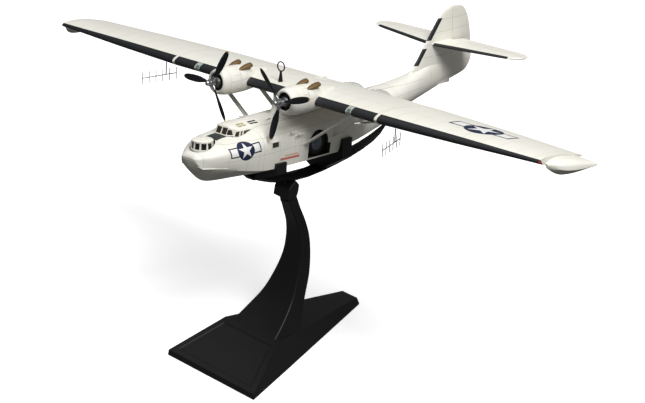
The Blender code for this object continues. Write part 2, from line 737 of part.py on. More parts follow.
    def blisters(self):
        for side in (1, -1):
            mesh = bmesh.new()
            bmesh.ops.create_uvsphere(mesh, u_segments=18, v_segments=10, radius=1.0)
            bmesh.ops.scale(mesh, vec=(9.6, 15.0, 9.4), verts=mesh.verts)
            bmesh.ops.translate(mesh, vec=(side * 12.0, 160.0, 9.4), verts=mesh.verts)
            blister = self.piece("blister_" + side_name(side), mesh, self.glass)
            inner = bmesh.new()
            bmesh.ops.create_uvsphere(inner, u_segments=18, v_segments=10, radius=1.0)
            bmesh.ops.scale(inner, vec=(8.8, 14.2, 8.6), verts=inner.verts)
            bmesh.ops.translate(inner, vec=(side * 12.0, 160.0, 9.4), verts=inner.verts)
            combine(blister, self.tool("blister inside " + side_name(side), inner), "DIFFERENCE")
            combine(blister, self.hull_cut, "DIFFERENCE")
            low = (min(side * 13.0, side * -8.0), 140.0, -5.0)
            high = (max(side * 13.0, side * -8.0), 180.0, 12.6)
            combine(blister, self.tool("waist trim " + side_name(side), box(low, high)), "DIFFERENCE")

    def wheels(self):
        for side in (1, -1):
            name = side_name(side)
            turn = Matrix.Rotation(-side * math.radians(90), 4, "Z")
            place = Matrix.Translation((side * WHEEL_X, WHEEL_Y, WHEEL_Z)) @ turn
            tread = ((-2.0, 4.8), (-2.3, 6.4), (-1.6, 7.6), (0.0, WHEEL_RADIUS))
            tread += ((1.6, 7.6), (2.3, 6.4), (2.0, 4.8))
            self.piece("tyre_" + name, placed(turned(tread, 28), place), self.tyre)
            rim = ((-1.9, 4.5), (1.9, 4.5), (1.4, 3.6), (1.4, 1.1), (-1.4, 1.1), (-1.4, 3.6))
            self.piece("wheel_" + name, placed(turned(rim, 20), place), self.grey)
            pin = rod((side * 13.1, WHEEL_Y, WHEEL_Z), (side * 20.2, WHEEL_Y, WHEEL_Z), 0.8, sides=12)
            axle = self.piece("wheel_axle_" + name, pin, self.grey)
            leg = rod((side * 14.2, WHEEL_Y, WHEEL_Z), (side * 14.2, WHEEL_Y + 3.0, -11.1), 0.9, sides=8)
            combine(axle, self.tool("leg " + name, leg), "UNION")

    def top_fittings(self):
        ring = bmesh.new()
        sections = []
        for step in range(20):
            around = 2 * math.pi * step / 20
            way = Vector((math.cos(around), 0.0, math.sin(around)))
            section = []
            for turn in range(6):
                angle = 2 * math.pi * turn / 6
                section.append(
                    tuple(
                        Vector((0.0, 83.6, 44.6))
                        + way * (2.6 + 0.42 * math.cos(angle))
                        + Vector((0.0, 0.42 * math.sin(angle), 0.0))
                    )
                )
            sections.append([ring.verts.new(p) for p in section])
        for step in range(20):
            low = sections[step]
            high = sections[(step + 1) % 20]
            for i in range(6):
                j = (i + 1) % 6
                ring.faces.new((low[i], low[j], high[j], high[i]))
        loop = self.piece("loop_aerial", ring, self.black)
        foot = rod((0.0, 83.6, 34.0), (0.0, 83.6, 42.2), 1.5, sides=10, end_radius=0.5)
        combine(loop, self.tool("loop foot", foot), "UNION")
        combine(loop, self.wing_cut, "DIFFERENCE")

    def aerials(self):
        """Homing aerials under the wings: each a mast, a boom that points forward, and its elements."""
        for side in (1, -1):
            name = side_name(side)
            foot = Vector((side * AERIAL_X, AERIAL_Y, AERIAL_Z))
            along = Vector((side * 0.3, -1.0, -0.06)).normalized()
            mast = rod(foot, foot + Vector((0, 0, 12.0)), 0.4, sides=6)
            aerial = self.piece("homing_aerial_" + name, mast, self.grey)
            rear = -1.5 * AERIAL_PITCH
            front = rear + 5 * AERIAL_PITCH
            boom = rod(foot + along * (rear - 0.3), foot + along * (front + 0.3), 0.32, sides=6)
            combine(aerial, self.tool("boom " + name, boom), "UNION")
            uprights = []
            for step in range(6):
                place = foot + along * (rear + AERIAL_PITCH * step) + Vector((0.04, 0.03, 0.0))
                reach = Vector((0, 0, 4.2))
                uprights.append(rod(place - reach, place + reach * 0.95, 0.27, sides=5))
            combine(aerial, self.tool("uprights " + name, merged(uprights)), "UNION")
            outer = wing_solid(list(WING), side, GAP)
            combine(aerial, self.tool("outer wing clearance " + name, outer), "DIFFERENCE")
            over = box((foot.x - 3, foot.y - 3, 28.6), (foot.x + 3, foot.y + 3, 50.0))
            combine(aerial, self.tool("above wing " + name, over), "DIFFERENCE")

    def stand(self):
        base_rings = []
        for y, low, high, top in BASE:
            half = [(low, y, 0.0), (low, y, 1.2), (high, y, top)]
            base_rings.append([(-low, y, 0.0)] + half + [(-high, y, top), (-low, y, 1.2)])
        base = solid("stand_base", loft(base_rings), self.plastic, self.display)
        neck_rings = []
        for z, front, rear, half in NECK:
            neck_rings.append([(-half, front, z), (half, front, z), (half, rear, z), (-half, rear, z)])
        neck = solid("stand_neck", loft(neck_rings), self.plastic, self.display)
        above_base = []
        for y, low, high, top in ((-40.0, 39.2, 38.6, -15.0),) + BASE[1:] + ((240.0, 8.8, 6.6, -10.0),):
            above_base.append([(-45, y, -40.0), (45, y, -40.0), (45, y, top + GAP), (-45, y, top + GAP)])
        combine(neck, cutter("base clearance", loft(above_base), self.display), "DIFFERENCE")
        wide = KNUCKLE_HALF_WIDTH
        knuckle = loft([[(x, y, z) for y, z in KNUCKLE] for x in (-wide, wide)])
        combine(neck, cutter("knuckle", knuckle, self.display), "UNION")
        cradle = self.piece("stand_cradle", self.cradle_beam(), self.plastic)
        lug = ((-2.2, 89.6, -46.0), (2.2, 95.4, -30.0))
        combine(cradle, self.tool("cradle lug", box(*lug)), "UNION")
        grown = (tuple(v - GAP for v in lug[0]), (lug[1][0] + GAP, lug[1][1] + GAP, -20.0))
        combine(neck, self.tool("lug clearance", box(*grown)), "DIFFERENCE")
        combine(neck, self.tool("cradle clearance", self.cradle_beam(GAP, 1.0)), "DIFFERENCE")
        for i, (front, rear, half, top, side, foot, bottom) in enumerate(BRACKETS):
            outline = [(half, top), (half, side), (foot, bottom)]
            outline += [(-x, z) for x, z in reversed(outline)]
            bracket = loft([[(x, y, z) for x, z in outline] for y in (front, rear)])
            combine(cradle, self.tool("bracket %d" % i, bracket), "UNION")
        combine(cradle, self.hull_cut, "DIFFERENCE")

    @staticmethod
    def cradle_beam(grow=0.0, crest=0.3):
        rings = []
        for y, bottom, top, half in CRADLE:
            outline = [(half * 0.4, bottom), (half, bottom + 0.4 * (top - bottom)), (half * crest, top)]
            outline += [(-x, z) for x, z in reversed(outline)]
            rings.append([(x, y, z) for x, z in offset_outline(outline, grow)])
        return loft(rings)

    def stand_on_origin(self):
        """Moves the whole so that its origin is the middle of its box, on the stand's underside."""
        bpy.context.view_layer.update()
        corners = []
        graph = bpy.context.evaluated_depsgraph_get()
        for made in bpy.data.objects:
            if made.type == "MESH" and not made.hide_render:
                shape = made.evaluated_get(graph)
                corners += [made.matrix_world @ v.co for v in shape.data.vertices]
        for axis in (0, 1):
            low = min(c[axis] for c in corners)
            high = max(c[axis] for c in corners)
            self.display.location[axis] = -(low + high) / 2


def main():
    clear_scene()
    model = Builder()
    model.cutters()
    model.hull()
    model.wings()
    model.pylon()
    model.nacelles()
    model.struts()
    model.tail()
    model.canopy()
    model.turret()
    model.blisters()
    model.wheels()
    model.top_fittings()
    model.aerials()
    model.stand()
    model.stand_on_origin()


main()
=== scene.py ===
"""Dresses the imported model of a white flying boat, held nose up and banked on its black stand.

Tables and named sizes are millimetres in the frame of the aircraft or of the stand; two matrices
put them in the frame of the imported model, in metres.
"""

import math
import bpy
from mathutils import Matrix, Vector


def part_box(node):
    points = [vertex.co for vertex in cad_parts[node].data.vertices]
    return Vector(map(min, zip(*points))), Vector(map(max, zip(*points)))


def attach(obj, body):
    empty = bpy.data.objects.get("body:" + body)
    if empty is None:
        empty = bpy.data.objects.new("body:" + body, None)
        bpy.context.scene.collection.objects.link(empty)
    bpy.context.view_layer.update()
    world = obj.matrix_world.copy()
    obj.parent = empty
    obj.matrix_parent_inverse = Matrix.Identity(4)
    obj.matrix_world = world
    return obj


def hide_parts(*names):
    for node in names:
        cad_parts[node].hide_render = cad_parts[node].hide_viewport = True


bl_info = {
    "name": "Flying boat on its stand",
    "version": (1, 0, 0),
    "blender": (4, 5, 0),
    "location": "3D View > Sidebar > Model",
    "description": "Fine surfaces and finishes for a display model of a flying boat",
    "category": "Object",
}

import bmesh
import bpy
from bpy.props import FloatProperty, FloatVectorProperty, PointerProperty
from mathutils import Euler, Matrix, Vector

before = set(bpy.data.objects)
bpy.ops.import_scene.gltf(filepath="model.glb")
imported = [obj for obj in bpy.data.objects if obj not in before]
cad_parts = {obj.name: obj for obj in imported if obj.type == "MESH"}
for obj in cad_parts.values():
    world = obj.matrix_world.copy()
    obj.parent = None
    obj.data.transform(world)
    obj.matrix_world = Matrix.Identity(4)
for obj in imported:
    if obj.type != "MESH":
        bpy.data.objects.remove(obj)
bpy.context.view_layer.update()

MM = 0.001
SAME_POINT = 0.0004
MODEL = "aircraft_on_stand"
SIDES = (("port", 1), ("starboard", -1))
AFT = Vector((0.0, 1.0, 0.0))

# How the stand holds the aircraft
NOSE_UP = math.radians(9.6)
BANK = math.radians(5.9)
STAND_HEIGHT = 162.4
KNUCKLE_DROP = 55.0
BASE_FRONT_Y = 13.2
base_low, base_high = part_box("stand_base")
STAND = Matrix.Translation((0.5 * (base_low.x + base_high.x), base_low.y - BASE_FRONT_Y * MM, 0.0))
PERCH = Vector((-KNUCKLE_DROP * math.sin(BANK), 0.0, STAND_HEIGHT - KNUCKLE_DROP * (1.0 - math.cos(BANK))))
AIRCRAFT = STAND @ Matrix.Translation(PERCH * MM) @ Euler((-NOSE_UP, -BANK, 0.0)).to_matrix().to_4x4()
ON_AIRCRAFT = AIRCRAFT @ Matrix.Scale(MM, 4)
ON_STAND = STAND @ Matrix.Scale(MM, 4)

# Hull sections: y, keel z, chine x, chine z, side x, side z, top z
HULL = (
    (4.9, -4.0, 5.0, -1.6, 5.4, -1.2, -0.6),
    (5.8, -7.4, 6.9, -3.4, 6.9, -1.4, 0.8),
    (8.5, -11.2, 8.8, -6.6, 9.0, -1.6, 2.2),
    (12.5, -15.2, 11.2, -7.2, 12.2, -1.4, 3.6),
    (18.0, -18.1, 14.0, -8.0, 15.6, -0.8, 6.0),
    (26.0, -19.6, 16.8, -9.2, 18.8, -0.3, 8.4),
    (38.0, -20.0, 18.8, -11.4, 20.6, 0.0, 9.2),
    (53.0, -20.2, 20.2, -13.4, 21.4, 0.0, 12.9),
    (75.0, -20.2, 20.6, -13.6, 21.5, 0.0, 14.2),
    (118.0, -20.0, 20.2, -13.4, 21.5, 0.4, 14.6),
    (118.6, -17.6, 20.0, -11.6, 21.5, 0.6, 14.6),
    (140.0, -15.4, 17.6, -9.4, 19.6, 1.4, 14.6),
    (165.0, -12.0, 12.0, -7.0, 15.8, 3.2, 14.8),
    (184.0, -9.2, 5.4, -6.4, 12.0, 5.0, 15.6),
    (184.6, -6.6, 5.4, -4.4, 12.0, 5.0, 15.6),
    (205.0, -1.4, 3.8, 0.6, 8.2, 8.6, 18.6),
    (225.0, 3.6, 2.6, 5.2, 5.0, 12.6, 23.6),
    (246.6, 9.2, 1.4, 10.4, 2.6, 16.0, 25.0),
)
HULL_STEPS = (9, 10, 13, 14)

# Boxes, by their low and high corners, the port one of each pair: openings in the hull
COCKPIT_WELL = ((-8.0, 34.6, -4.0), (8.0, 48.0, 16.0))
WAIST_WELL = ((-26.0, 151.0, 3.5), (26.0, 169.0, 12.0))
SIDE_WINDOW = ((21.0, 56.2, 0.5), (25.0, 61.9, 3.8))
# The side window's frame
WINDOW_FRAME = (
    ((20.9, 55.7, 0.0), (21.65, 56.2, 4.3)),
    ((20.9, 61.9, 0.0), (21.65, 62.4, 4.3)),
    ((20.9, 56.2, 3.8), (21.65, 61.9, 4.3)),
    ((20.9, 56.2, 0.0), (21.65, 61.9, 0.5)),
)
# Two slots in the canopy's roof and the first quarter light
CANOPY_SLOTS = (
    ((3.9, 50.6, 13.0), (5.2, 57.2, 18.0)),
    ((6.2, 50.6, 13.0), (7.5, 57.2, 18.0)),
    ((4.95, 32.5, 9.6), (12.0, 35.2, 12.6)),
)
# Inside the cockpit
FLOOR = ((-7.6, 35.0, -3.4), (7.6, 47.6, -2.6))
SEAT = ((1.4, 41.6, -1.4), (6.0, 45.4, 0.2))
SEAT_BACK = ((1.4, 44.8, 0.0), (6.0, 46.0, 8.4))
PANEL = ((-7.2, 35.4, 0.6), (7.2, 36.4, 6.6))
# Cut out of the wing for a landing light, off an elevator at the fin and off a blister inboard
LIGHT_SEAT = ((64.1, 60.0, 24.0), (68.7, 78.8, 38.0))
ELEVATOR_GAP = ((-4.0, 240.0, 30.0), (3.6, 270.0, 44.0))
BLISTER_INBOARD = ((-8.0, 140.0, -5.0), (12.6, 180.0, 12.4))

# Spray strake: y, x, z and how far it stands out
STRAKE = (
    (6.4, 6.9, -5.0, 0.2),
    (8.6, 8.7, -6.7, 0.7),
    (14.0, 12.0, -6.7, 0.8),
    (22.0, 15.6, -7.2, 0.8),
    (30.0, 17.6, -7.6, 0.5),
)

# Section of a thin wire: how far out and how far along each of its corners lies
WIRE_SECTION = [(math.sin(turn), math.cos(turn)) for turn in (0.0, 1.6, 3.1, 4.7)]

# Side probes: start, end, radius and end radius of each rod
SIDE_PROBES = (
    ((20.6, 79.0, 6.0), (24.2, 79.0, 6.6), 0.42, 0.42),
    ((24.2, 75.2, 6.7), (24.2, 82.6, 6.5), 0.4, 0.3),
    ((23.0, 71.0, 8.4), (23.0, 76.0, 8.3), 0.35, 0.35),
    ((19.6, 73.6, 7.4), (23.0, 73.6, 8.4), 0.35, 0.35),
)

# Canopy: y, half width at its foot, foot z, half width at its shoulder, shoulder z, top z
CANOPY = (
    (31.8, 5.6, 7.4, 5.2, 8.9, 9.2),
    (34.2, 7.6, 7.2, 4.8, 14.0, 14.5),
    (37.5, 10.2, 7.2, 8.8, 12.5, 15.0),
    (43.0, 10.9, 8.2, 9.6, 12.4, 15.3),
    (49.0, 10.9, 9.8, 9.8, 12.2, 15.2),
)

# Bow turret: outlines as minus z and radius
TURRET_Y = 16.6
TURRET_GLASS = ((-1.0, 6.62), (-8.1, 5.82), (-8.1, 5.42), (-1.0, 6.22))
TURRET_RIM = [(-8.3, 0.0), (-8.3, 6.7), (-8.5, 6.85)]
TURRET_DOME = ((-8.9, 6.4), (-9.3, 4.8), (-9.5, 2.6), (-9.56, 0.0))

# Wing, outer panel: x, chord, how far its leading edge lies aft, thickness as a share of the chord
JOINT_X = 88.0
ROOT_CHORD = 63.5
ROOT_RATIO = 0.15
WING_LE_Y = 74.5
WING_LE_Z = 30.5
WING_INCIDENCE = math.radians(4.8)
WING = (
    (JOINT_X, ROOT_CHORD, 0.0, ROOT_RATIO),
    (148.0, 54.0, 3.6, 0.145),
    (188.0, 45.0, 6.8, 0.135),
    (208.0, 41.0, 8.0, 0.125),
)

# Tip float: y, inner x, outer x, top z, chine z, keel x, keel z
FLOAT = (
    (88.0, 208.4, 210.4, 29.0, 27.8, 209.4, 26.4),
    (91.0, 208.4, 214.6, 30.4, 26.6, 211.8, 23.8),
    (96.0, 208.4, 218.2, 31.2, 25.6, 213.0, 21.8),
    (103.0, 208.4, 219.9, 30.8, 25.0, 213.8, 21.0),
    (110.0, 208.4, 220.1, 29.6, 24.5, 214.6, 21.0),
    (117.0, 208.4, 220.1, 28.0, 24.2, 215.6, 21.8),
    (121.0, 211.5, 220.1, 26.6, 24.0, 217.0, 22.6),
    (123.6, 216.6, 219.6, 24.8, 23.8, 218.2, 23.2),
)

# Struts: y of each, foot and head as x and z, half depth and half thickness; share of the length and size
STRUTS = (("front", 85.5), ("rear", 113.0))
STRUT_FOOT = (19.4, -3.6)
STRUT_HEAD = (62.6, 27.4)
STRUT_DEPTH = 1.7
STRUT_THICKNESS = 0.85
STRUT = (
    (-0.04, 1.6),
    (0.0, 1.45),
    (0.03, 1.08),
    (0.08, 1.0),
    (0.5, 1.0),
    (0.93, 1.0),
    (0.98, 1.1),
    (1.03, 1.4),
)

# Pylon: z, front y, rear y, half width
PYLON = (
    (9.0, 70.5, 142.0, 12.5),
    (13.0, 75.0, 136.0, 8.6),
    (18.0, 78.0, 130.0, 6.8),
    (24.0, 79.0, 126.0, 6.2),
    (31.0, 78.0, 126.0, 6.4),
)

# Sections: share of the length, share of the half width
PYLON_SECTION = (
    (0.0, 0.0),
    (0.01, 0.26),
    (0.03, 0.42),
    (0.12, 0.8),
    (0.3, 1.0),
    (0.55, 0.94),
    (0.8, 0.55),
    (1.0, 0.08),
)
FIN_SECTION = ((0.0, 0.10), (0.02, 0.36), (0.06, 0.58), (0.15, 0.85), (0.35, 1.0), (0.65, 0.75), (1.0, 0.16))
TAIL_SECTION = ((0.0, 0.12), (0.02, 0.38), (0.07, 0.66), (0.18, 0.9), (0.4, 1.0), (0.7, 0.7), (1.0, 0.2))

# Fin: z, leading edge y, trailing edge y, half thickness; its foot, its panel and the rudder's foot
FIN_FOOT = (8.0, 196.0, 268.0, 3.0)
FIN = (
    (15.0, 202.0, 268.0, 3.0),
    (20.5, 208.0, 269.6, 2.8),
    (27.0, 214.0, 269.4, 2.5),
    (36.5, 221.0, 268.2, 2.2),
    (46.0, 228.0, 266.2, 1.9),
    (53.0, 233.6, 263.4, 1.6),
    (57.5, 238.6, 260.0, 1.3),
    (59.4, 243.0, 257.0, 1.0),
    (60.0, 246.6, 253.6, 0.8),
)
RUDDER_FOOT = ((9.6, 202.0, 249.0, 2.4), (11.6, 202.0, 258.0, 2.6), (13.9, 202.0, 264.6, 2.8))
HINGE_Y = 247.0
HINGE_GAP = 0.3

# Tailplane, port half: x, leading edge y, trailing edge y, thickness
TAIL_Z = 36.5
TAIL = (
    (1.6, 226.6, 257.0, 3.4),
    (20.0, 230.2, 257.0, 3.2),
    (40.0, 234.4, 256.8, 2.7),
    (55.0, 237.6, 256.4, 2.2),
    (61.0, 240.6, 254.6, 1.8),
    (64.0, 244.6, 251.6, 1.4),
    (64.6, 246.8, 249.4, 1.0),
)

# Power: outlines as distance aft of the propeller's plane along the thrust axis, and radius
THRUST_X = 29.7
PROP_Y = 52.8
THRUST_Z = 32.3
THRUST_TILT = math.radians(2.3)
PROP_RADIUS = 25.6
NACELLE_FRONT = 17.6
NACELLE = ((NACELLE_FRONT, 8.9), (24.0, 8.7), (32.0, 7.8), (40.0, 6.4), (48.0, 4.4), (53.0, 2.4), (55.0, 0.6))
COWL_INSIDE = [(17.4, 8.3), (8.0, 8.0), (5.4, 6.5)]
COWL = ((4.0, 5.6), (3.2, 6.2), (3.4, 7.0), (4.8, 8.0), (8.0, 8.7), (12.0, 9.0), (17.4, 8.95))
CRANKCASE_NOSE = [(2.3, 0.0), (2.3, 1.2)]
CRANKCASE = ((2.6, 2.0), (3.6, 3.0), (5.0, 3.4), (7.4, 3.7), (9.6, 3.7))
ENGINE_PLATE = ((9.7, 0.0), (9.7, 7.7), (10.4, 7.7), (10.4, 0.0))
CYLINDERS = 9
CYLINDER_Y = 7.6
COOLING_FINS = 7
DOME = ((-5.6, 0.6), (-5.0, 1.25), (-4.2, 1.6), (-2.4, 1.75))
HUB = [(-1.9, 1.8), (-1.8, 2.3), (1.2, 2.4), (1.7, 1.9), (1.9, 1.0), (4.2, 1.0), (4.2, 0.0)]
FIRST_BLADE = {1: math.radians(136.4), -1: math.radians(61.3)}
BLADES = 3
# Blade: radius, chord, thickness, pitch in degrees
BLADE = (
    (4.4, 1.5, 1.45, 40.0),
    (6.0, 2.0, 1.3, 36.0),
    (8.0, 2.9, 1.05, 30.0),
    (12.0, 4.2, 0.8, 22.0),
    (18.0, 4.4, 0.6, 15.0),
    (22.5, 3.6, 0.45, 12.0),
    (24.8, 2.2, 0.35, 11.0),
    (PROP_RADIUS, 0.7, 0.3, 10.0),
)
# Exhaust outlet: share of its length, half width, half height, the last three inside it; its ends as y and z
EXHAUST = (
    (0.0, 0.3, 0.2),
    (0.08, 1.1, 0.6),
    (0.3, 1.8, 1.05),
    (0.6, 2.4, 1.5),
    (0.85, 2.35, 1.65),
    (1.0, 2.0, 1.5),
    (1.0, 1.7, 1.2),
    (0.75, 1.6, 1.0),
    (0.66, 0.2, 0.2),
)
EXHAUST_START = (70.8, 38.4)
EXHAUST_END = (81.4, 40.4)
EXHAUSTS = (("inner", -4.7), ("outer", 4.7))

# Waist blisters
BLISTER_AT = (12.0, 160.0, 9.4)
BLISTER_RADII = Vector((9.6, 15.0, 9.4))

# Wheels in their bays: outlines as distance outboard of the wheel's middle, and radius
WHEEL_X = 18.0
WHEEL_Y = 98.0
WHEEL_Z = -4.0
WHEEL_RADIUS = 8.0
BAY_RADIUS = WHEEL_RADIUS + 0.9
BAY_X = (12.8, 24.0)
BEAD = (-2.0, 4.7)
TREAD = ((-2.3, 5.6), (-2.25, 6.6), (-1.5, 7.6), (0.0, WHEEL_RADIUS))
RIM = ((1.9, 4.75), (2.0, 4.5), (1.6, 4.1), (1.0, 3.6), (0.9, 2.6), (1.2, 1.6), (2.0, 1.3), (2.1, 0.95))
WHEEL_NUTS = 6

# Loop aerial
LOOP_Y = 83.6
LOOP_Z = 44.0

# Stand: base y, half width below, half width above, top z; neck z, front y, rear y, half width
BASE = ((BASE_FRONT_Y, 39.2, 38.6, 4.4), (51.5, 30.6, 24.2, 18.6), (145.8, 8.8, 6.6, 4.4))
BASE_EDGE_Z = 1.2
PANEL_AREA = 900.0
NECK = (
    (4.0, 30.0, 70.0, 23.0),
    (12.0, 40.0, 75.0, 21.6),
    (18.0, 53.0, 79.0, 19.2),
    (25.0, 64.0, 82.4, 16.6),
    (34.0, 75.3, 88.5, 13.3),
    (46.0, 83.5, 95.4, 10.4),
    (58.0, 88.6, 99.0, 8.1),
    (70.0, 90.4, 99.8, 6.7),
    (82.0, 89.4, 97.6, 5.6),
    (94.0, 85.6, 93.4, 4.7),
    (107.0, 81.4, 88.8, 4.6),
)
# The knuckle on top of the neck: its outline as y and z
KNUCKLE = (
    (79.0, 105.6),
    (80.4, 111.8),
    (82.4, 113.8),
    (87.4, 116.6),
    (90.5, 112.6),
    (89.5, 107.4),
    (87.3, 103.6),
)
KNUCKLE_HALF_WIDTH = 6.5

# Roundels: the place of each centre, its radius and how far its bars lean; then shares of the radius
HULL_ROUNDEL = (35.3, 2.7, 6.4, 0.055)
WING_ROUNDEL = (149.4, 103.6, 12.2, 0.054)
BAR_LENGTH = 1.82
BAR_WIDTH = 0.5
STAR_NOTCH = 0.382
STAR_POINT = math.radians(36.0)
ROUNDEL_WHITE = (0.80, 0.80, 0.78)

# Tip light, from and to x, which is also where the wing's boot ends
TIP_LIGHT_X = (207.4, 209.4)

# Looks: a panel line's strength and tone, the colour of painted shade on a planing bottom, how much each
# finish reflects
LINE_STRENGTH = 0.62
LINE_TONE = 0.52
BOTTOM_SHADE = (0.25, 0.25, 0.205)
PAINT_SHINE = 0.45
MATT_SHINE = 0.25
GLASS_SHINE = 0.6
STAND_SHINE = 0.27

# The photograph's camera, in the model's frame: place in metres, azimuth, elevation and roll
CAMERA_AT = (0.93888, -1.01577, 0.83428)
CAMERA_TURN = (math.radians(43.0911), math.radians(28.7044), math.radians(0.0716))
CAMERA_LENS = 132.996
SENSOR_WIDTH = 36.0

# The stage, in metres: a floor whose rim rises, glows, and lamps by name, place, size and watts
STAGE_HALF = 8.0
STAGE_FLAT = 4.0
STAGE_RISE = 0.3
FLOOR_GLOW = 0.45
WORLD_GLOW = 0.16
LAMPS = (("key", (1.3, -0.35, 2.05), 0.9, 43.0), ("top", (-0.1, 0.2, 2.3), 1.8, 28.0))
LAMPS_AIM = Vector((0.0, 0.0, 0.12))


def size_property(name, text, default, least):
    return FloatProperty(name=name, description=text + ", in millimetres", default=default, min=least)


def colour_property(name, default):
    return FloatVectorProperty(
        name=name,
        description="Colour of the " + name.lower(),
        subtype="COLOR",
        size=3,
        min=0.0,
        max=1.0,
        default=default,
    )


class ModelSizes(bpy.types.PropertyGroup):
    """Sizes of the trim that a user may change."""

    panel_line: size_property("Panel line", "Width of a panel line", 0.17, 0.05)
    panel_depth: size_property("Panel depth", "Depth of a panel line", 0.07, 0.0)
    edge: size_property("Moulded edge", "Rounding of the stand's edges", 0.8, 0.1)


class ModelColours(bpy.types.PropertyGroup):
    """Colours of the finishes."""

    white: colour_property("White paint", (0.79, 0.775, 0.705))
    black: colour_property("De-icing boots", (0.0075, 0.0088, 0.0115))
    stand: colour_property("Stand", (0.0055, 0.0055, 0.006))
    navy: colour_property("Roundel", (0.008, 0.015, 0.050))
    yellow: colour_property("Propeller tips", (0.30, 0.17, 0.035))
    brown: colour_property("Exhausts", (0.15, 0.088, 0.028))
    # Near-black painted shade for the walls of the hull's wells and the cockpit's inside
    well_shade: colour_property("Inside of the bays", (0.035, 0.035, 0.027))
    red: colour_property("Stripes", (0.55, 0.07, 0.03))


class Socket:
    """A shader socket that can stand in a sum."""

    def __init__(self, finish, link):
        self.finish = finish
        self.link = link

    def calculate(self, operation, *others):
        inputs = dict(enumerate((self,) + others))
        return self.finish.node("ShaderNodeMath", {"operation": operation}, inputs)

    def __add__(self, other):
        return self.calculate("ADD", other)

    __radd__ = __add__

    def __sub__(self, other):
        return self.calculate("SUBTRACT", other)

    def __rsub__(self, other):
        return self.finish.node("ShaderNodeMath", {"operation": "SUBTRACT"}, {0: other, 1: self})

    def __mul__(self, other):
        return self.calculate("MULTIPLY", other)

    __rmul__ = __mul__

    def __truediv__(self, other):
        return self.calculate("DIVIDE", other)

    def __lt__(self, other):
        return self.calculate("LESS_THAN", other)

    def __gt__(self, other):
        return self.calculate("GREATER_THAN", other)

    def __abs__(self):
        return self.calculate("ABSOLUTE")

    def either(self, *others):
        """The largest value, so any of several masks."""
        largest = self
        for other in others:
            largest = largest.calculate("MAXIMUM", other)
        return largest

    def lower(self, other):
        return self.calculate("MINIMUM", other)

    def root(self):
        return self.calculate("SQRT")


class Finish:
    """A material being made, with its place in the aircraft's or the stand's frame, in millimetres."""

    def __init__(self, name, place=ON_AIRCRAFT):
        self.material = bpy.data.materials.new(name)
        self.material.use_nodes = True
        self.tree = self.material.node_tree
        self.tree.nodes.clear()
        self.shader = self.tree.nodes.new("ShaderNodeBsdfPrincipled")
        output = self.tree.nodes.new("ShaderNodeOutputMaterial")
        self.tree.links.new(self.shader.outputs[0], output.inputs["Surface"])
        back = place.inverted()
        turn = {"Location": back.translation, "Rotation": back.to_euler(), "Scale": back.to_scale()}
        turn["Vector"] = self.node("ShaderNodeTexCoord", output="Object")
        self.place = self.node("ShaderNodeMapping", {"vector_type": "POINT"}, turn)
        parts = [self.node("ShaderNodeSeparateXYZ", None, {0: self.place}, axis) for axis in "XYZ"]
        self.x, self.y, self.z = parts

    def node(self, kind, settings=None, inputs=None, output=0):
        made = self.tree.nodes.new(kind)
        for key, value in (settings or {}).items():
            setattr(made, key, value)
        for key, value in (inputs or {}).items():
            if isinstance(value, Socket):
                self.tree.links.new(value.link, made.inputs[key])
            else:
                made.inputs[key].default_value = value
        return Socket(self, made.outputs[output])

    def mix(self, mask, below, above):
        """The colour above where the mask is 1, the colour below where it is 0."""
        colours = {0: mask}
        for key, colour in ((6, below), (7, above)):
            colours[key] = colour if isinstance(colour, Socket) else (*colour, 1.0)
        return self.node("ShaderNodeMix", {"data_type": "RGBA"}, colours, 2)

    def noise(self, scale, detail=3.0):
        inputs = {"Vector": self.place, "Scale": scale, "Detail": detail, "Roughness": 0.55}
        return self.node("ShaderNodeTexNoise", None, inputs)

    def line(self, value, at, width):
        return abs(value - at) < width * 0.5

    def lines(self, value, pitch, width):
        """Lines at every pitch along a value."""
        return abs((value / pitch).calculate("FRACT") - 0.5) < width * 0.5 / pitch

    def within(self, value, low, high):
        return (value > low) * (value < high)

    def bump(self, height, distance):
        inputs = {"Strength": 1.0, "Distance": distance * MM, "Height": height}
        normal = self.node("ShaderNodeBump", None, inputs, "Normal")
        self.tree.links.new(normal.link, self.shader.inputs["Normal"])

    def set(self, **values):
        """Sets sockets of the main shader by their names, written with _ for a space."""
        for key, value in values.items():
            socket = self.shader.inputs[key.replace("_", " ")]
            if isinstance(value, Socket):
                self.tree.links.new(value.link, socket)
            elif key.endswith("Color"):
                socket.default_value = (*value, 1.0)
            else:
                socket.default_value = value
        return self.material

    def roundel(self, across, up, centre_across, centre_up, radius, lean):
        """Masks of a star-and-bar roundel: its navy ground, and the white star and bars on it."""
        a = across - centre_across
        b = up - centre_up
        along = a * math.cos(lean) + b * math.sin(lean)
        rise = b * math.cos(lean) - a * math.sin(lean)
        far = (along * along + rise * rise).root()
        border = radius / 8.0
        bars = (abs(along) < BAR_LENGTH * radius) * (abs(rise) < BAR_WIDTH * radius)
        ground = (far < radius).either(bars)
        fold = along.calculate("ARCTAN2", rise).calculate("PINGPONG", STAR_POINT)
        px = far * fold.calculate("COSINE")
        py = far * fold.calculate("SINE")
        tip = radius - border
        notch = STAR_NOTCH * tip
        end_x = notch * math.cos(STAR_POINT)
        end_y = notch * math.sin(STAR_POINT)
        star = (px - tip) * end_y - py * (end_x - tip) < 0.0
        short = abs(along) < BAR_LENGTH * radius - border
        low = abs(rise) < BAR_WIDTH * radius - border
        inner = short * low * (far > radius)
        return ground, star.either(inner)


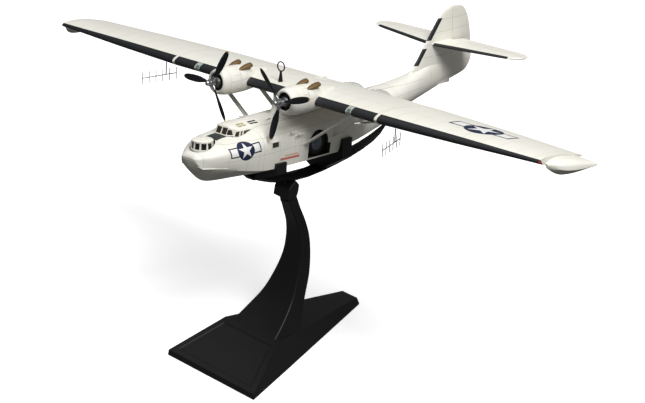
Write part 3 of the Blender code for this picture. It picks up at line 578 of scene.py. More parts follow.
class Paintwork(Finish):
    """Warm white paint, a little cloudy and uneven, on which lines and marks are laid."""

    def __init__(self, name, paints):
        super().__init__(name)
        self.colours = paints.colours
        self.width = paints.sizes.panel_line
        self.depth = paints.sizes.panel_depth
        warm = tint(self.colours.white, 0.965, 0.955, 0.915)
        self.colour = self.mix((self.noise(0.045, 4.0) - 0.38) * 1.6, self.colours.white, warm)
        self.rough = 0.34 + 0.16 * self.noise(0.25, 2.0)
        self.peel = self.noise(1.6, 2.0) * 0.06

    def seam(self, value, at):
        return self.line(value, at, self.width)

    def seams(self, value, pitch):
        return self.lines(value, pitch, self.width)

    def lay(self, mask, colour):
        self.colour = self.mix(mask, self.colour, colour)

    def lay_boot(self, mask):
        self.lay(mask, self.colours.black)
        self.rough = self.rough + mask * 0.12

    def lay_roundel(self, across, up, place, where):
        ground, star = self.roundel(across, up, *place)
        self.lay(ground * where, self.colours.navy)
        self.lay(star * ground * where, ROUNDEL_WHITE)

    def lay_bottom_shade(self, where, least):
        """Paints shade onto a planing bottom, darker in patches."""
        self.lay(where * (least + 0.3 * self.noise(0.12)), BOTTOM_SHADE)

    def draw(self, *lines):
        """Draws panel lines in a darker tone and sinks them; without any, it only makes the paint uneven."""
        relief = self.peel
        if lines:
            drawn = lines[0].either(*lines[1:])
            self.lay(drawn * LINE_STRENGTH, tint(self.colours.white, LINE_TONE))
            relief = relief - drawn
        self.bump(relief, self.depth)

    def done(self):
        return self.set(Base_Color=self.colour, Roughness=self.rough, Specular_IOR_Level=PAINT_SHINE)


def tint(colour, *shares):
    """A colour with its channels multiplied by one share, or by a share each."""
    if len(shares) == 1:
        shares = shares * 3
    return tuple(min(1.0, channel * share) for channel, share in zip(colour, shares))


def smoothed(rows, steps, corners=()):
    """Fills in a table's rows along a smooth curve through each column; it may turn at a corner row."""
    stops = [0, *corners, len(rows) - 1]
    filled = []
    for first, last in zip(stops, stops[1:]):
        span = rows[first : last + 1]
        filled += run_through(span, steps if len(span) > 2 else 1)
    filled.append(tuple(rows[-1]))
    return filled


def run_through(span, steps):
    """The filled-in rows of one smooth span, without its last row."""

    def slope(i, column):
        low = span[max(i - 1, 0)]
        high = span[min(i + 1, len(span) - 1)]
        return (high[column] - low[column]) / (high[0] - low[0])

    filled = []
    for i, (low, high) in enumerate(zip(span, span[1:])):
        for step in range(steps):
            t = step / steps
            row = []
            for c in range(len(low)):
                level = (2 * t**3 - 3 * t**2 + 1) * low[c] + (3 * t**2 - 2 * t**3) * high[c]
                bend = (t**3 - 2 * t**2 + t) * slope(i, c) + (t**3 - t**2) * slope(i + 1, c)
                row.append(level + bend * (high[0] - low[0]))
            filled.append(tuple(row))
    return filled


def through(points, steps):
    """A smooth run through points, as smoothed does for rows, measured by their order."""
    return [row[1:] for row in smoothed([(float(i), *p) for i, p in enumerate(points)], steps)]


def circle(count):
    """Cosine and sine at each of so many steps round a circle."""
    turns = [2 * math.pi * step / count for step in range(count)]
    return [(math.cos(turn), math.sin(turn)) for turn in turns]


def oval(middle, wide, tall, count=24):
    return [middle + wide * c + tall * s for c, s in circle(count)]


def on(side, x, y, z):
    return Vector((side * x, y, z))


def move(mesh, matrix):
    bmesh.ops.transform(mesh, matrix=matrix, verts=mesh.verts)
    return mesh


def loft(mesh, rings):
    """Wraps a grid on closed rings of points, and closes both ends."""
    across = len(rings[0])
    along = len(rings) - 1
    made = bmesh.ops.create_grid(mesh, x_segments=across, y_segments=along, size=0.5)["verts"]
    for vert in made:
        i = round((vert.co.x + 0.5) * across) % across
        j = round((vert.co.y + 0.5) * along)
        vert.co = rings[j][i]
    bmesh.ops.remove_doubles(mesh, verts=made, dist=SAME_POINT)
    bmesh.ops.edgeloop_fill(mesh, edges=[edge for edge in mesh.edges if edge.is_boundary])


def lofted(rings):
    mesh = bmesh.new()
    loft(mesh, rings)
    return mesh


def spin_in(mesh, outline, segments, closed=False, place=Matrix()):
    """Turns an outline of (distance, radius) points about the Y axis of a place."""
    verts = [mesh.verts.new(place @ Vector((r, y, 0.0))) for y, r in outline]
    edges = [mesh.edges.new(pair) for pair in zip(verts, verts[1:])]
    if closed:
        edges.append(mesh.edges.new((verts[-1], verts[0])))
    bmesh.ops.spin(
        mesh,
        geom=verts + edges,
        cent=place.translation,
        axis=place.to_3x3() @ AFT,
        angle=2 * math.pi,
        steps=segments,
        use_merge=True,
    )


def spun(outline, segments, closed=False, place=Matrix()):
    mesh = bmesh.new()
    spin_in(mesh, outline, segments, closed, place)
    bmesh.ops.remove_doubles(mesh, verts=mesh.verts, dist=SAME_POINT)
    return mesh


def hoop_in(mesh, radius, wire, place, section=WIRE_SECTION, segments=20):
    """A ring of wire about the Y axis of a place."""
    outline = [(wire * along, radius + wire * out) for out, along in section]
    spin_in(mesh, outline, segments, True, place)


def rod_in(mesh, start, end, radius, end_radius=None, sides=12, flat=1.0):
    start = Vector(start)
    end = Vector(end)
    turn = (end - start).to_track_quat("Z", "Y").to_matrix().to_4x4()
    bmesh.ops.create_cone(
        mesh,
        cap_ends=True,
        segments=sides,
        radius1=radius,
        radius2=radius if end_radius is None else end_radius,
        depth=(end - start).length,
        matrix=Matrix.Translation((start + end) / 2) @ turn @ Matrix.Diagonal((1.0, flat, 1.0, 1.0)),
    )


def block_in(mesh, low, high, side=1, bevel=0.0):
    """A box between two corners, as given or mirrored to the other side."""
    size = Vector(high) - Vector(low)
    middle = on(side, *(Vector(high) + Vector(low)) / 2)
    place = Matrix.Translation(middle) @ Matrix.Diagonal((*size, 1.0))
    made = bmesh.ops.create_cube(mesh, size=1.0, matrix=place)
    if bevel:
        edges = list({edge for vert in made["verts"] for edge in vert.link_edges})
        bmesh.ops.bevel(
            mesh,
            geom=edges,
            offset=bevel,
            segments=2,
            profile=0.5,
            affect="EDGES",
            material=-1,
            clamp_overlap=True,
        )


def block(low, high, side=1):
    mesh = bmesh.new()
    block_in(mesh, low, high, side)
    return mesh


def ball(centre, radii, segments=48, turn=Matrix()):
    mesh = bmesh.new()
    place = Matrix.Translation(centre) @ Matrix.Diagonal((*radii, 1.0)) @ turn
    bmesh.ops.create_uvsphere(mesh, u_segments=segments, v_segments=segments // 2, radius=1.0, matrix=place)
    return mesh


def grown(points, distance):
    """Moves a closed flat outline outwards."""
    if not distance:
        return points
    area = sum(a[0] * b[1] - b[0] * a[1] for a, b in zip(points, points[1:] + points[:1]))
    turn = 1.0 if area > 0 else -1.0
    moved = []
    for i, here in enumerate(points):
        here = Vector(here)
        first = (here - Vector(points[i - 1])).normalized()
        second = (Vector(points[(i + 1) % len(points)]) - here).normalized()
        normal = (Vector((first.y + second.y, -first.x - second.x)) * turn).normalized()
        lean = max(0.5, normal.dot(Vector((first.y, -first.x)) * turn))
        moved.append(tuple(here + normal * distance / lean))
    return moved


def shade(data, angle):
    data.shade_smooth()
    data.set_sharp_from_angle(angle=math.radians(angle))


def placed(name, mesh, place, finish):
    """An object from a bmesh in millimetres, with its place in its mesh."""
    bmesh.ops.recalc_face_normals(mesh, faces=mesh.faces)
    move(mesh, place)
    data = bpy.data.meshes.new(name)
    mesh.to_mesh(data)
    mesh.free()
    data.materials.append(finish)
    made = bpy.data.objects.new(name, data)
    bpy.context.scene.collection.objects.link(made)
    return made


def piece(
    name,
    mesh,
    finish,
    replaces=(),
    body=MODEL,
    place=ON_AIRCRAFT,
    angle=35.0,
    round_edges=0.0,
):
    """One finished piece, on a body and with its finish; it may replace nodes."""
    made = placed(name, mesh, place, finish)
    shade(made.data, angle)
    if round_edges:
        bevel = made.modifiers.new("edges", "BEVEL")
        bevel.width = round_edges * MM
        bevel.segments = 3
        bevel.limit_method = "ANGLE"
        bevel.angle_limit = math.radians(30.0)
        bevel.harden_normals = True
    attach(made, body)
    if replaces:
        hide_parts(*replaces)
    return made


def carve(made, tools, finish=None, angle=35.0):
    """Cuts bmeshes in millimetres out of a piece; the cut's walls take the given finish."""
    helpers = [placed("tool", tool, ON_AIRCRAFT, finish or made.data.materials[0]) for tool in tools]
    for helper in helpers:
        cut = made.modifiers.new("cut", "BOOLEAN")
        cut.operation = "DIFFERENCE"
        cut.solver = "EXACT"
        cut.material_mode = "TRANSFER"
        cut.object = helper
    graph = bpy.context.evaluated_depsgraph_get()
    graph.update()
    result = bpy.data.meshes.new_from_object(made.evaluated_get(graph), depsgraph=graph)
    made.modifiers.clear()
    old = made.data
    made.data = result
    result.name = made.name
    bpy.data.meshes.remove(old)
    for helper in helpers:
        data = helper.data
        bpy.data.objects.remove(helper)
        bpy.data.meshes.remove(data)
    shade(made.data, angle)


def copy_of(node):
    """A CAD node's mesh, merged, back in the aircraft's frame in millimetres."""
    mesh = bmesh.new()
    mesh.from_mesh(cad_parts[node].data)
    bmesh.ops.remove_doubles(mesh, verts=mesh.verts, dist=0.000002)
    move(mesh, ON_AIRCRAFT.inverted())
    bmesh.ops.dissolve_limit(mesh, angle_limit=math.radians(0.6), verts=mesh.verts, edges=mesh.edges)
    return mesh


def repaint(node, finish):
    """Gives a CAD node a finish of its own."""
    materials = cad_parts[node].data.materials
    materials.clear()
    materials.append(finish)


def hull_ring(row, distance=0.0):
    y, keel, chine_x, chine_z, side_x, side_z, top = row
    half = []
    for step in range(6):
        t = step / 6
        half.append((chine_x * t, keel + (chine_z - keel) * (0.475 * t + 0.525 * t * t)))
    for step in range(5):
        t = step / 5
        half.append((chine_x + (side_x - chine_x) * (2 * t - t * t), chine_z + (side_z - chine_z) * t))
    for step in range(14):
        angle = math.pi / 2 * step / 14
        half.append((side_x * math.cos(angle) ** 0.8, side_z + (top - side_z) * math.sin(angle) ** 0.9))
    outline = half + [(0.0, top)] + [(-x, z) for x, z in reversed(half[1:])]
    return [(x, y, z) for x, z in grown(outline, distance)]


def hull_form(distance=0.0, steps=5):
    return lofted([hull_ring(row, distance) for row in smoothed(HULL, steps, HULL_STEPS)])


def foil(chord, ratio, steps=20):
    """A wing's section as (distance aft, height), with a blunt trailing edge."""
    over = []
    under = []
    for step in range(steps + 1):
        s = (1.0 - math.cos(math.pi * step / steps)) / 2
        form = 0.2969 * math.sqrt(s) - 0.126 * s - 0.3516 * s**2 + 0.2843 * s**3 - 0.1015 * s**4
        half = 5 * ratio * chord * form + 0.3 * s
        camber = 0.06 * chord * s * (1 - s)
        over.append((s * chord, camber + half))
        under.append((s * chord, camber - half))
    return over + under[:0:-1]


def wing_ring(x, chord, aft, ratio):
    drop = math.sin(WING_INCIDENCE)
    run = math.cos(WING_INCIDENCE)
    outline = [(a * run + b * drop, b * run - a * drop) for a, b in foil(chord, ratio)]
    return [(x, WING_LE_Y + aft + back, WING_LE_Z + up) for back, up in outline]


def streamlined(section, front, rear, half):
    """A section's outline as (across, y), one half and then the other."""
    outline = [(half * w, front + (rear - front) * s) for s, w in section]
    return outline + [(-x, y) for x, y in reversed(outline) if x]


def thrust(side):
    return Matrix.Translation((side * THRUST_X, PROP_Y, THRUST_Z)) @ Matrix.Rotation(-THRUST_TILT, 4, "X")


class Paints:
    """Every finish, made once from the user's colours."""

    made = None

    @classmethod
    def shared(cls, scene):
        """The one set of finishes, made when it is first asked for."""
        if cls.made is None:
            cls.made = cls(scene.flying_boat_colours, scene.flying_boat_sizes)
        return cls.made

    def __init__(self, colours, sizes):
        self.colours = colours
        self.sizes = sizes
        self.hull = self.hull_paint()
        self.wing = self.wing_paint()
        self.tail = self.tail_paint()
        self.white = self.white_paint()
        self.float = self.float_paint()
        self.nacelle = self.nacelle_paint()
        # Painted shade: near black on the walls of the wells and on the cockpit's inside
        self.well_shade = self.matt("bay paint", colours.well_shade, 0.8)
        # Painted shade, near black, on the cut walls of the canopy's slots
        self.slot_shade = self.matt("dark interior", (0.012, 0.012, 0.011), 0.7)
        self.black = self.matt("black paint", colours.black, 0.42)
        self.grey = self.matt("bluish grey paint", (0.16, 0.185, 0.22), 0.4, 0.3)
        self.aerial = self.matt("aerial grey", (0.22, 0.22, 0.215), 0.5, 0.2)
        self.rubber = self.matt("tyre rubber", (0.018, 0.018, 0.019), 0.85)
        self.chrome = self.bright("polished metal", (0.46, 0.47, 0.49), 0.27)
        self.engine = self.bright("engine metal", (0.16, 0.165, 0.17), 0.42)
        self.exhaust = self.exhaust_paint()
        self.blade = self.blade_paint()
        self.pane = self.clear("turret pane", (0.016, 0.014, 0.010), 0.8)
        self.canopy = self.canopy_panes()
        self.bubble = self.clear("clear bubble", (0.74, 0.74, 0.69), 0.45)
        self.lens = self.lamp_lens()
        self.plastic = self.stand_plastic()

    def white_paint(self):
        paint = Paintwork("white paint", self)
        paint.draw()
        return paint.done()

    def float_paint(self):
        """White paint, with painted shade on the planing bottom."""
        paint = Paintwork("float paint", self)
        paint.draw()
        chine = 25.0 - 0.08 * (paint.y - 103.0)
        # Painted shade on the float's bottom below its chine.
        paint.lay_bottom_shade(paint.z < chine, 0.6)
        return paint.done()

    def hull_paint(self):
        paint = Paintwork("hull paint", self)
        x, y, z = abs(paint.x), paint.y, paint.z
        frames = paint.seams(y - 3.0, 13.4) * (y > 12.0)
        levels = (-3.6, 6.2, 11.4)
        stringers = [paint.seam(z - 0.02 * y, level) * paint.within(y, 20.0, 215.0) for level in levels]
        joints = [paint.seam(y, place) * (z < 6.2) for place in (9.0, 45.8, 87.2, 132.4)]
        paint.draw(frames, *stringers, *joints)
        # Painted shade on the hull's bottom below its chine, uneven in patches.
        chine = (-6.9 - 0.165 * (y - 12.5)).either(-6.6 + 1.185 * (8.5 - y), -13.8)
        paint.lay_bottom_shade(z < chine, 0.34)
        glare_panel = paint.within(y, 23.6, 33.0) * (x < 5.3) * (z > 4.0)
        paint.lay(glare_panel, (0.03, 0.034, 0.036))
        paint.lay_roundel(y, self.up_the_flank(paint), HULL_ROUNDEL, x > 6.0)
        slope = z + 0.02 * (y - 64.0)
        port = paint.x > 12.0
        upper = port * paint.within(slope, -6.9, -6.1) * paint.within(y, 68.0, 80.0)
        lower = port * paint.within(slope, -9.2, -7.6) * paint.within(y, 64.0, 81.0)
        paint.lay(upper * 0.8, (0.62, 0.26, 0.08))
        paint.lay(lower * 0.85, self.colours.red)
        return paint.done()

    def up_the_flank(self, paint):
        """Distance up the hull's side: z below its widest line, and round the shoulder above it."""
        x, y, z = abs(paint.x), paint.y, paint.z
        widest = (15.6 + 0.4 * (y - 18.0)).lower(18.8 + 0.15 * (y - 26.0)).lower(20.6 + 0.053 * (y - 38.0))
        lean = widest - x
        over = z > 0.0
        return over * (z * z + lean * lean).root() + (1.0 - over) * z

    def wing_paint(self):
        paint = Paintwork("wing paint", self)
        x, y, z = abs(paint.x), paint.y, paint.z
        outboard = (x - JOINT_X).either(0.0)
        aft = y - 0.067 * outboard
        ribs = paint.seams(x - 3.2, 12.9) * (aft < 118.0)
        spars = [paint.seam(aft, place) for place in (93.4, 118.0)]
        joints = [paint.seam(x, place) * (aft > 80.0) for place in (JOINT_X + 1.0, 150.0, 205.0)]
        paint.draw(ribs, *spars, *joints)
        slant = (paint.x - 3.5) * 0.577 - (y - 109.7) * 0.817
        walkway_edge = paint.line(slant, 0.0, 0.5) * paint.within(paint.x, 3.5, 17.1) * (z > 29.0)
        paint.lay(walkway_edge * 0.7, (0.1, 0.1, 0.1))
        upper = z > 30.7 - (aft - WING_LE_Y) * math.tan(WING_INCIDENCE)
        shown = (upper * (paint.x > 0.0)).either((1.0 - upper) * (paint.x < 0.0))
        paint.lay_roundel(x, y, WING_ROUNDEL, shown)
        depth = 5.1 - 0.0355 * outboard - 0.7 * (z - 32.6)
        edge = aft - WING_LE_Y < depth
        joint_band = paint.line(x, JOINT_X + 0.5, 2.1)
        paint.lay_boot(edge * (1.0 - joint_band) * (x < TIP_LIGHT_X[0]))
        paint.lay(paint.within(x, *TIP_LIGHT_X) * edge, (0.24, 0.025, 0.018))
        return paint.done()

    def tail_paint(self):
        paint = Paintwork("tail paint", self)
        x, y, z = abs(paint.x), paint.y, paint.z
        flat = paint.within(z, TAIL_Z - 2.2, TAIL_Z + 2.2) * (x > 2.4)
        tail_ribs = paint.seams(x - 2.0, 8.8) * flat
        fin_ribs = paint.seams(z - 1.0, 7.9) * (1.0 - flat)
        tab = paint.within(y, 258.6, 258.9) * paint.within(z, 22.0, 40.0)
        paint.draw(tail_ribs, fin_ribs, tab)
        fin_edge = 224.1 + 0.757 * (z - 36.5)
        lengths = paint.within(z, 23.8, 34.4).either(paint.within(z, 39.4, 53.4))
        fin_boot = (y < fin_edge) * lengths * (x < 2.5)
        tail_boot = (y < 228.4 + 0.205 * x) * flat * (x < 57.0)
        paint.lay_boot(fin_boot.either(tail_boot))
        return paint.done()

    def nacelle_paint(self):
        paint = Paintwork("nacelle paint", self)
        x, y, z = abs(paint.x), paint.y, paint.z
        rings = [paint.seam(y, place) for place in (61.4, 70.3, 76.2, 88.0)]
        flaps = paint.seams(x - THRUST_X, 3.1) * paint.within(y, 66.2, 70.3)
        sides = paint.seam(z - 0.04 * (y - PROP_Y), THRUST_Z) * (y > 61.4)
        paint.draw(*rings, flaps, sides)
        soot = paint.within(y, 79.0, 97.0) * (z > 36.0) * paint.noise(0.35, 4.0) * 0.30
        paint.lay(soot, (0.35, 0.30, 0.24))
        return paint.done()

    def matt(self, name, colour, roughness, metallic=0.0):
        finish = Finish(name)
        mottle = finish.noise(0.6)
        tone = finish.mix(mottle, tint(colour, 0.82), tint(colour, 1.2))
        finish.bump(finish.noise(3.0, 2.0), 0.02)
        rough = roughness - 0.08 + 0.16 * mottle
        return finish.set(Base_Color=tone, Roughness=rough, Metallic=metallic, Specular_IOR_Level=MATT_SHINE)

    def bright(self, name, colour, roughness):
        finish = Finish(name)
        mottle = finish.noise(1.1)
        tone = finish.mix(mottle, tint(colour, 0.86), colour)
        return finish.set(Base_Color=tone, Metallic=1.0, Roughness=roughness + 0.1 * mottle)

    def clear(self, name, colour, cover):
        finish = Finish(name)
        smear = finish.noise(0.5)
        tone = finish.mix(smear, tint(colour, 0.8), colour)
        rough = 0.05 + 0.07 * smear
        return finish.set(Base_Color=tone, Roughness=rough, Alpha=cover, Specular_IOR_Level=GLASS_SHINE)

    def lamp_lens(self):
        """Greenish glass over a darker lamp."""
        finish = Finish("lamp lens")
        a = (abs(finish.x) - 66.4) / 1.5
        b = (finish.z - 31.2) / 1.2
        lamp = a * a + b * b < 1.0
        tone = finish.mix(lamp * 0.8, (0.40, 0.46, 0.41), (0.07, 0.10, 0.09))
        rough = 0.08 + 0.05 * finish.noise(0.5)
        return finish.set(Base_Color=tone, Roughness=rough, Alpha=0.9, Specular_IOR_Level=GLASS_SHINE)

    def canopy_panes(self):
        """Brown side panes, a darker windscreen and yellow-green panes in the roof."""
        finish = Finish("canopy pane")
        smear = finish.noise(0.5)
        tone = finish.mix(smear, (0.075, 0.046, 0.022), (0.105, 0.066, 0.034))
        tone = finish.mix((finish.y < 38.2) * 0.8, tone, (0.022, 0.019, 0.016))
        roof = (finish.z > 13.0) * finish.within(finish.y, 39.5, 47.6)
        tone = finish.mix(roof, tone, (0.42, 0.37, 0.15))
        rough = 0.06 + 0.07 * smear
        return finish.set(Base_Color=tone, Roughness=rough, Alpha=0.9, Specular_IOR_Level=GLASS_SHINE)

    def exhaust_paint(self):
        finish = Finish("burnt brown")
        mottle = finish.noise(0.9, 4.0)
        tone = finish.mix(mottle, tint(self.colours.brown, 0.55), tint(self.colours.brown, 1.5))
        finish.bump(mottle, 0.05)
        return finish.set(Base_Color=tone, Roughness=0.42 + 0.2 * mottle, Metallic=0.3)

    def blade_paint(self):
        finish = Finish("propeller blade")
        a = abs(finish.x) - THRUST_X
        b = finish.z - THRUST_Z
        far = (a * a + b * b).root()
        tone = finish.mix(far > PROP_RADIUS - 1.0, self.colours.black, self.colours.yellow)
        rough = 0.32 + 0.14 * finish.noise(0.7)
        return finish.set(Base_Color=tone, Roughness=rough, Specular_IOR_Level=MATT_SHINE)

    def stand_plastic(self):
        finish = Finish("moulded stand plastic", ON_STAND)
        cloud = finish.noise(0.03)
        tone = finish.mix(cloud, self.colours.stand, tint(self.colours.stand, 1.5))
        finish.bump(finish.noise(1.4), 0.03)
        return finish.set(Base_Color=tone, Roughness=0.36 + 0.12 * cloud, Specular_IOR_Level=STAND_SHINE)


class HullStep(bpy.types.Operator):
    """Makes the planing hull with its wells, spray strakes, windows and towing ring"""

    bl_idname = "flying_boat.hull"
    bl_label = "Hull"

    def execute(self, context):
        paints = Paints.shared(context.scene)
        hull = piece("hull_skin", hull_form(), paints.hull, ("hull",), angle=28.0)
        wells = []
        for name, side in SIDES:
            wells += [self.wheel_bay(side), block(*SIDE_WINDOW, side)]
        turret_well = bmesh.new()
        rod_in(turret_well, (0.0, TURRET_Y, -4.0), (0.0, TURRET_Y, 12.0), 7.9, sides=40)
        wells += [turret_well, block(*COCKPIT_WELL), block(*WAIST_WELL)]
        # The walls of the wells take near-black painted shade.
        carve(hull, wells, paints.well_shade, angle=28.0)
        self.strakes(paints)
        self.fittings(paints)
        return {"FINISHED"}

    def wheel_bay(self, side):
        """A round bay with a square foot for the leg."""
        rear = WHEEL_Y + BAY_RADIUS
        outline = [(rear, -5.0), (rear + 2.6, -5.2), (rear + 2.6, -12.5), (WHEEL_Y - BAY_RADIUS, -12.5)]
        for step in range(25):
            angle = math.pi * (1 - step / 24)
            outline.append((WHEEL_Y + BAY_RADIUS * math.cos(angle), WHEEL_Z + BAY_RADIUS * math.sin(angle)))
        return lofted([[(side * x, y, z) for y, z in outline] for x in BAY_X])

    def strakes(self, paints):
        """A thin ledge that throws the spray down, from the bow's corner along each flank."""
        mesh = bmesh.new()
        for name, side in SIDES:
            rings = []
            for y, x, z, out in STRAKE:
                section = ((x - 0.9, z + 0.8), (x + out, z), (x + out, z - 0.35), (x - 0.9, z - 0.5))
                rings.append([(side * across, y, up) for across, up in section])
            loft(mesh, rings)
        piece("spray_strakes", mesh, paints.white)

    def fittings(self, paints):
        ring = bmesh.new()
        at_bow = Matrix.Translation((0.0, 6.2, -6.2)) @ Matrix.Rotation(math.radians(90), 4, "Z")
        hoop_in(ring, 1.1, 0.28, at_bow)
        piece("towing_ring", ring, paints.aerial)
        rails = bmesh.new()
        frames = bmesh.new()
        for name, side in SIDES:
            for start, end, radius, end_radius in SIDE_PROBES:
                rod_in(rails, on(side, *start), on(side, *end), radius, end_radius)
            for low, high in WINDOW_FRAME:
                block_in(frames, low, high, side)
        piece("side_probes", rails, paints.white)
        piece("side_window_frames", frames, paints.white)


class CanopyStep(bpy.types.Operator):
    """Makes the cockpit's canopy, its panes and what shows inside"""

    bl_idname = "flying_boat.canopy"
    bl_label = "Canopy"

    def execute(self, context):
        paints = Paints.shared(context.scene)
        shell = copy_of("canopy")
        shell = piece("canopy_shell", shell, paints.white, ("canopy",), angle=24.0, round_edges=0.16)
        slots = [block(low, high, side) for name, side in SIDES for low, high in CANOPY_SLOTS]
        # The slots' cut walls take near-black painted shade.
        carve(shell, slots, paints.slot_shade, angle=24.0)
        self.panes(paints)
        self.inside(paints)
        return {"FINISHED"}

    def panes(self, paints):
        """One shell of glass just inside the canopy."""
        rings = []
        for y, half, foot, shoulder, shoulder_z, top in CANOPY:
            outline = [(half, foot - 1.0), (half, foot), (shoulder, shoulder_z)]
            for across, rise in ((0.82, 0.55), (0.42, 0.92)):
                outline.append((shoulder * across, shoulder_z + rise * (top - shoulder_z)))
            outline += [(-x, z) for x, z in reversed(outline)]
            rings.append([(x, y, z) for x, z in grown(outline, -0.35)])
        piece("canopy_panes", lofted(rings), paints.canopy, angle=20.0)

    def inside(self, paints):
        """The floor, two seats, two control wheels on their columns and the panel."""
        mesh = bmesh.new()
        block_in(mesh, *FLOOR, bevel=0.2)
        for name, side in SIDES:
            block_in(mesh, *SEAT, side, 0.5)
            block_in(mesh, *SEAT_BACK, side, 0.5)
            rod_in(mesh, on(side, 3.7, 39.8, -2.8), on(side, 3.7, 38.6, 3.6), 0.4)
            hoop_in(mesh, 1.5, 0.2, Matrix.Translation(on(side, 3.7, 38.4, 4.4)))
        block_in(mesh, *PANEL, bevel=0.3)
        # The cockpit's inside takes the same near-black painted shade as the wells.
        piece("cockpit_inside", mesh, paints.well_shade)


class TurretStep(bpy.types.Operator):
    """Makes the bow turret: its framed wall, its glass and its domed roof"""

    bl_idname = "flying_boat.turret"
    bl_label = "Bow turret"

    def execute(self, context):
        paints = Paints.shared(context.scene)
        wall = copy_of("bow_turret_wall")
        piece("turret_wall", wall, paints.white, ("bow_turret_wall",), round_edges=0.1)
        upright = Matrix.Translation((0.0, TURRET_Y, 0.0)) @ Matrix.Rotation(math.radians(-90), 4, "X")
        glass = spun(TURRET_GLASS, 40, True, upright)
        piece("turret_glass", glass, paints.pane, ("bow_turret_glass",))
        roof = spun(TURRET_RIM + through(TURRET_DOME, 4), 40, place=upright)
        rod_in(roof, (0.0, TURRET_Y, 9.4), (0.0, TURRET_Y, 10.0), 1.1, 0.9, 20)
        piece("turret_roof", roof, paints.white, ("bow_turret_roof",), angle=30.0)
        return {"FINISHED"}


class WingStep(bpy.types.Operator):
    """Makes the wing in three panels, its pylon, struts, lamps, probe and retracted floats"""

    bl_idname = "flying_boat.wing"
    bl_label = "Wing"

    def execute(self, context):
        paints = Paints.shared(context.scene)
        stations = (-JOINT_X, -44.0, 0.0, 44.0, JOINT_X - 0.1)
        centre = lofted([wing_ring(x, ROOT_CHORD, 0.0, ROOT_RATIO) for x in stations])
        centre = piece("wing_centre_skin", centre, paints.wing, ("wing_centre",), angle=40.0)
        carve(centre, [block(*LIGHT_SEAT, side) for name, side in SIDES], paints.white, angle=40.0)
        for name, side in SIDES:
            rows = smoothed(WING, 5)
            rows[0] = (JOINT_X + 0.1, *rows[0][1:])
            outer = lofted([wing_ring(side * x, chord, aft, ratio) for x, chord, aft, ratio in rows])
            piece("wing_outer_skin_" + name, outer, paints.wing, ("wing_outer_" + name,), angle=40.0)
            self.tip_float(name, side, paints)
            self.struts(name, side, paints)
            repaint("landing_light_" + name, paints.lens)
        self.pylon(paints)
        self.probe(paints)
        return {"FINISHED"}

    def tip_float(self, name, side, paints):
        rings = []
        for y, inner, outer, top, chine, keel_x, keel in smoothed(FLOAT, 4):
            ring = [(inner, 0.5 * (top + keel))]
            for step in range(9):
                angle = math.pi / 2 * step / 9
                across = inner + (outer - inner) * math.sin(angle) ** 0.9
                ring.append((across, chine + (top - chine) * math.cos(angle) ** 0.6))
            for t in (0.0, 0.33, 0.66, 1.0):
                ring.append((outer + (keel_x - outer) * t, chine + (keel - chine) * (1.3 * t - 0.3 * t * t)))
            rings.append([(side * x, y, z) for x, z in ring])
        piece("tip_float_skin_" + name, lofted(rings), paints.float, ("tip_float_" + name,), angle=30.0)

    def struts(self, name, side, paints):
        """Streamlined struts with a fairing at each end."""
        for place, y in STRUTS:
            low = on(side, STRUT_FOOT[0], y, STRUT_FOOT[1])
            high = on(side, STRUT_HEAD[0], y, STRUT_HEAD[1])
            lift = (high - low).normalized().cross(AFT) * STRUT_THICKNESS
            rings = []
            for t, size in STRUT:
                middle = low.lerp(high, t)
                ring = []
                for c, s in circle(24):
                    fore = STRUT_DEPTH * (c if c < 0 else 1.15 * c)
                    ring.append(middle + size * (AFT * fore + lift * s))
                rings.append(ring)
            node = "strut_" + place + "_" + name
            piece(node + "_skin", lofted(rings), paints.white, (node,))

    def pylon(self, paints):
        section = through(PYLON_SECTION, 4)
        rings = []
        for z, front, rear, half in smoothed(PYLON, 4):
            rings.append([(x, y, z) for x, y in streamlined(section, front, rear, half)])
        piece("pylon_skin", lofted(rings), paints.white, ("pylon",), angle=40.0)

    def probe(self, paints):
        """The airspeed probe under the port wing's leading edge."""
        mesh = bmesh.new()
        rod_in(mesh, (75.0, 84.0, 24.0), (75.0, 84.0, 27.6), 0.5, 0.7, flat=0.5)
        rod_in(mesh, (75.0, 88.6, 23.6), (75.0, 74.4, 25.4), 0.62, 0.55)
        rod_in(mesh, (75.0, 74.5, 25.39), (75.0, 71.4, 25.8), 0.36, 0.3)
        piece("airspeed_probe", mesh, paints.white)


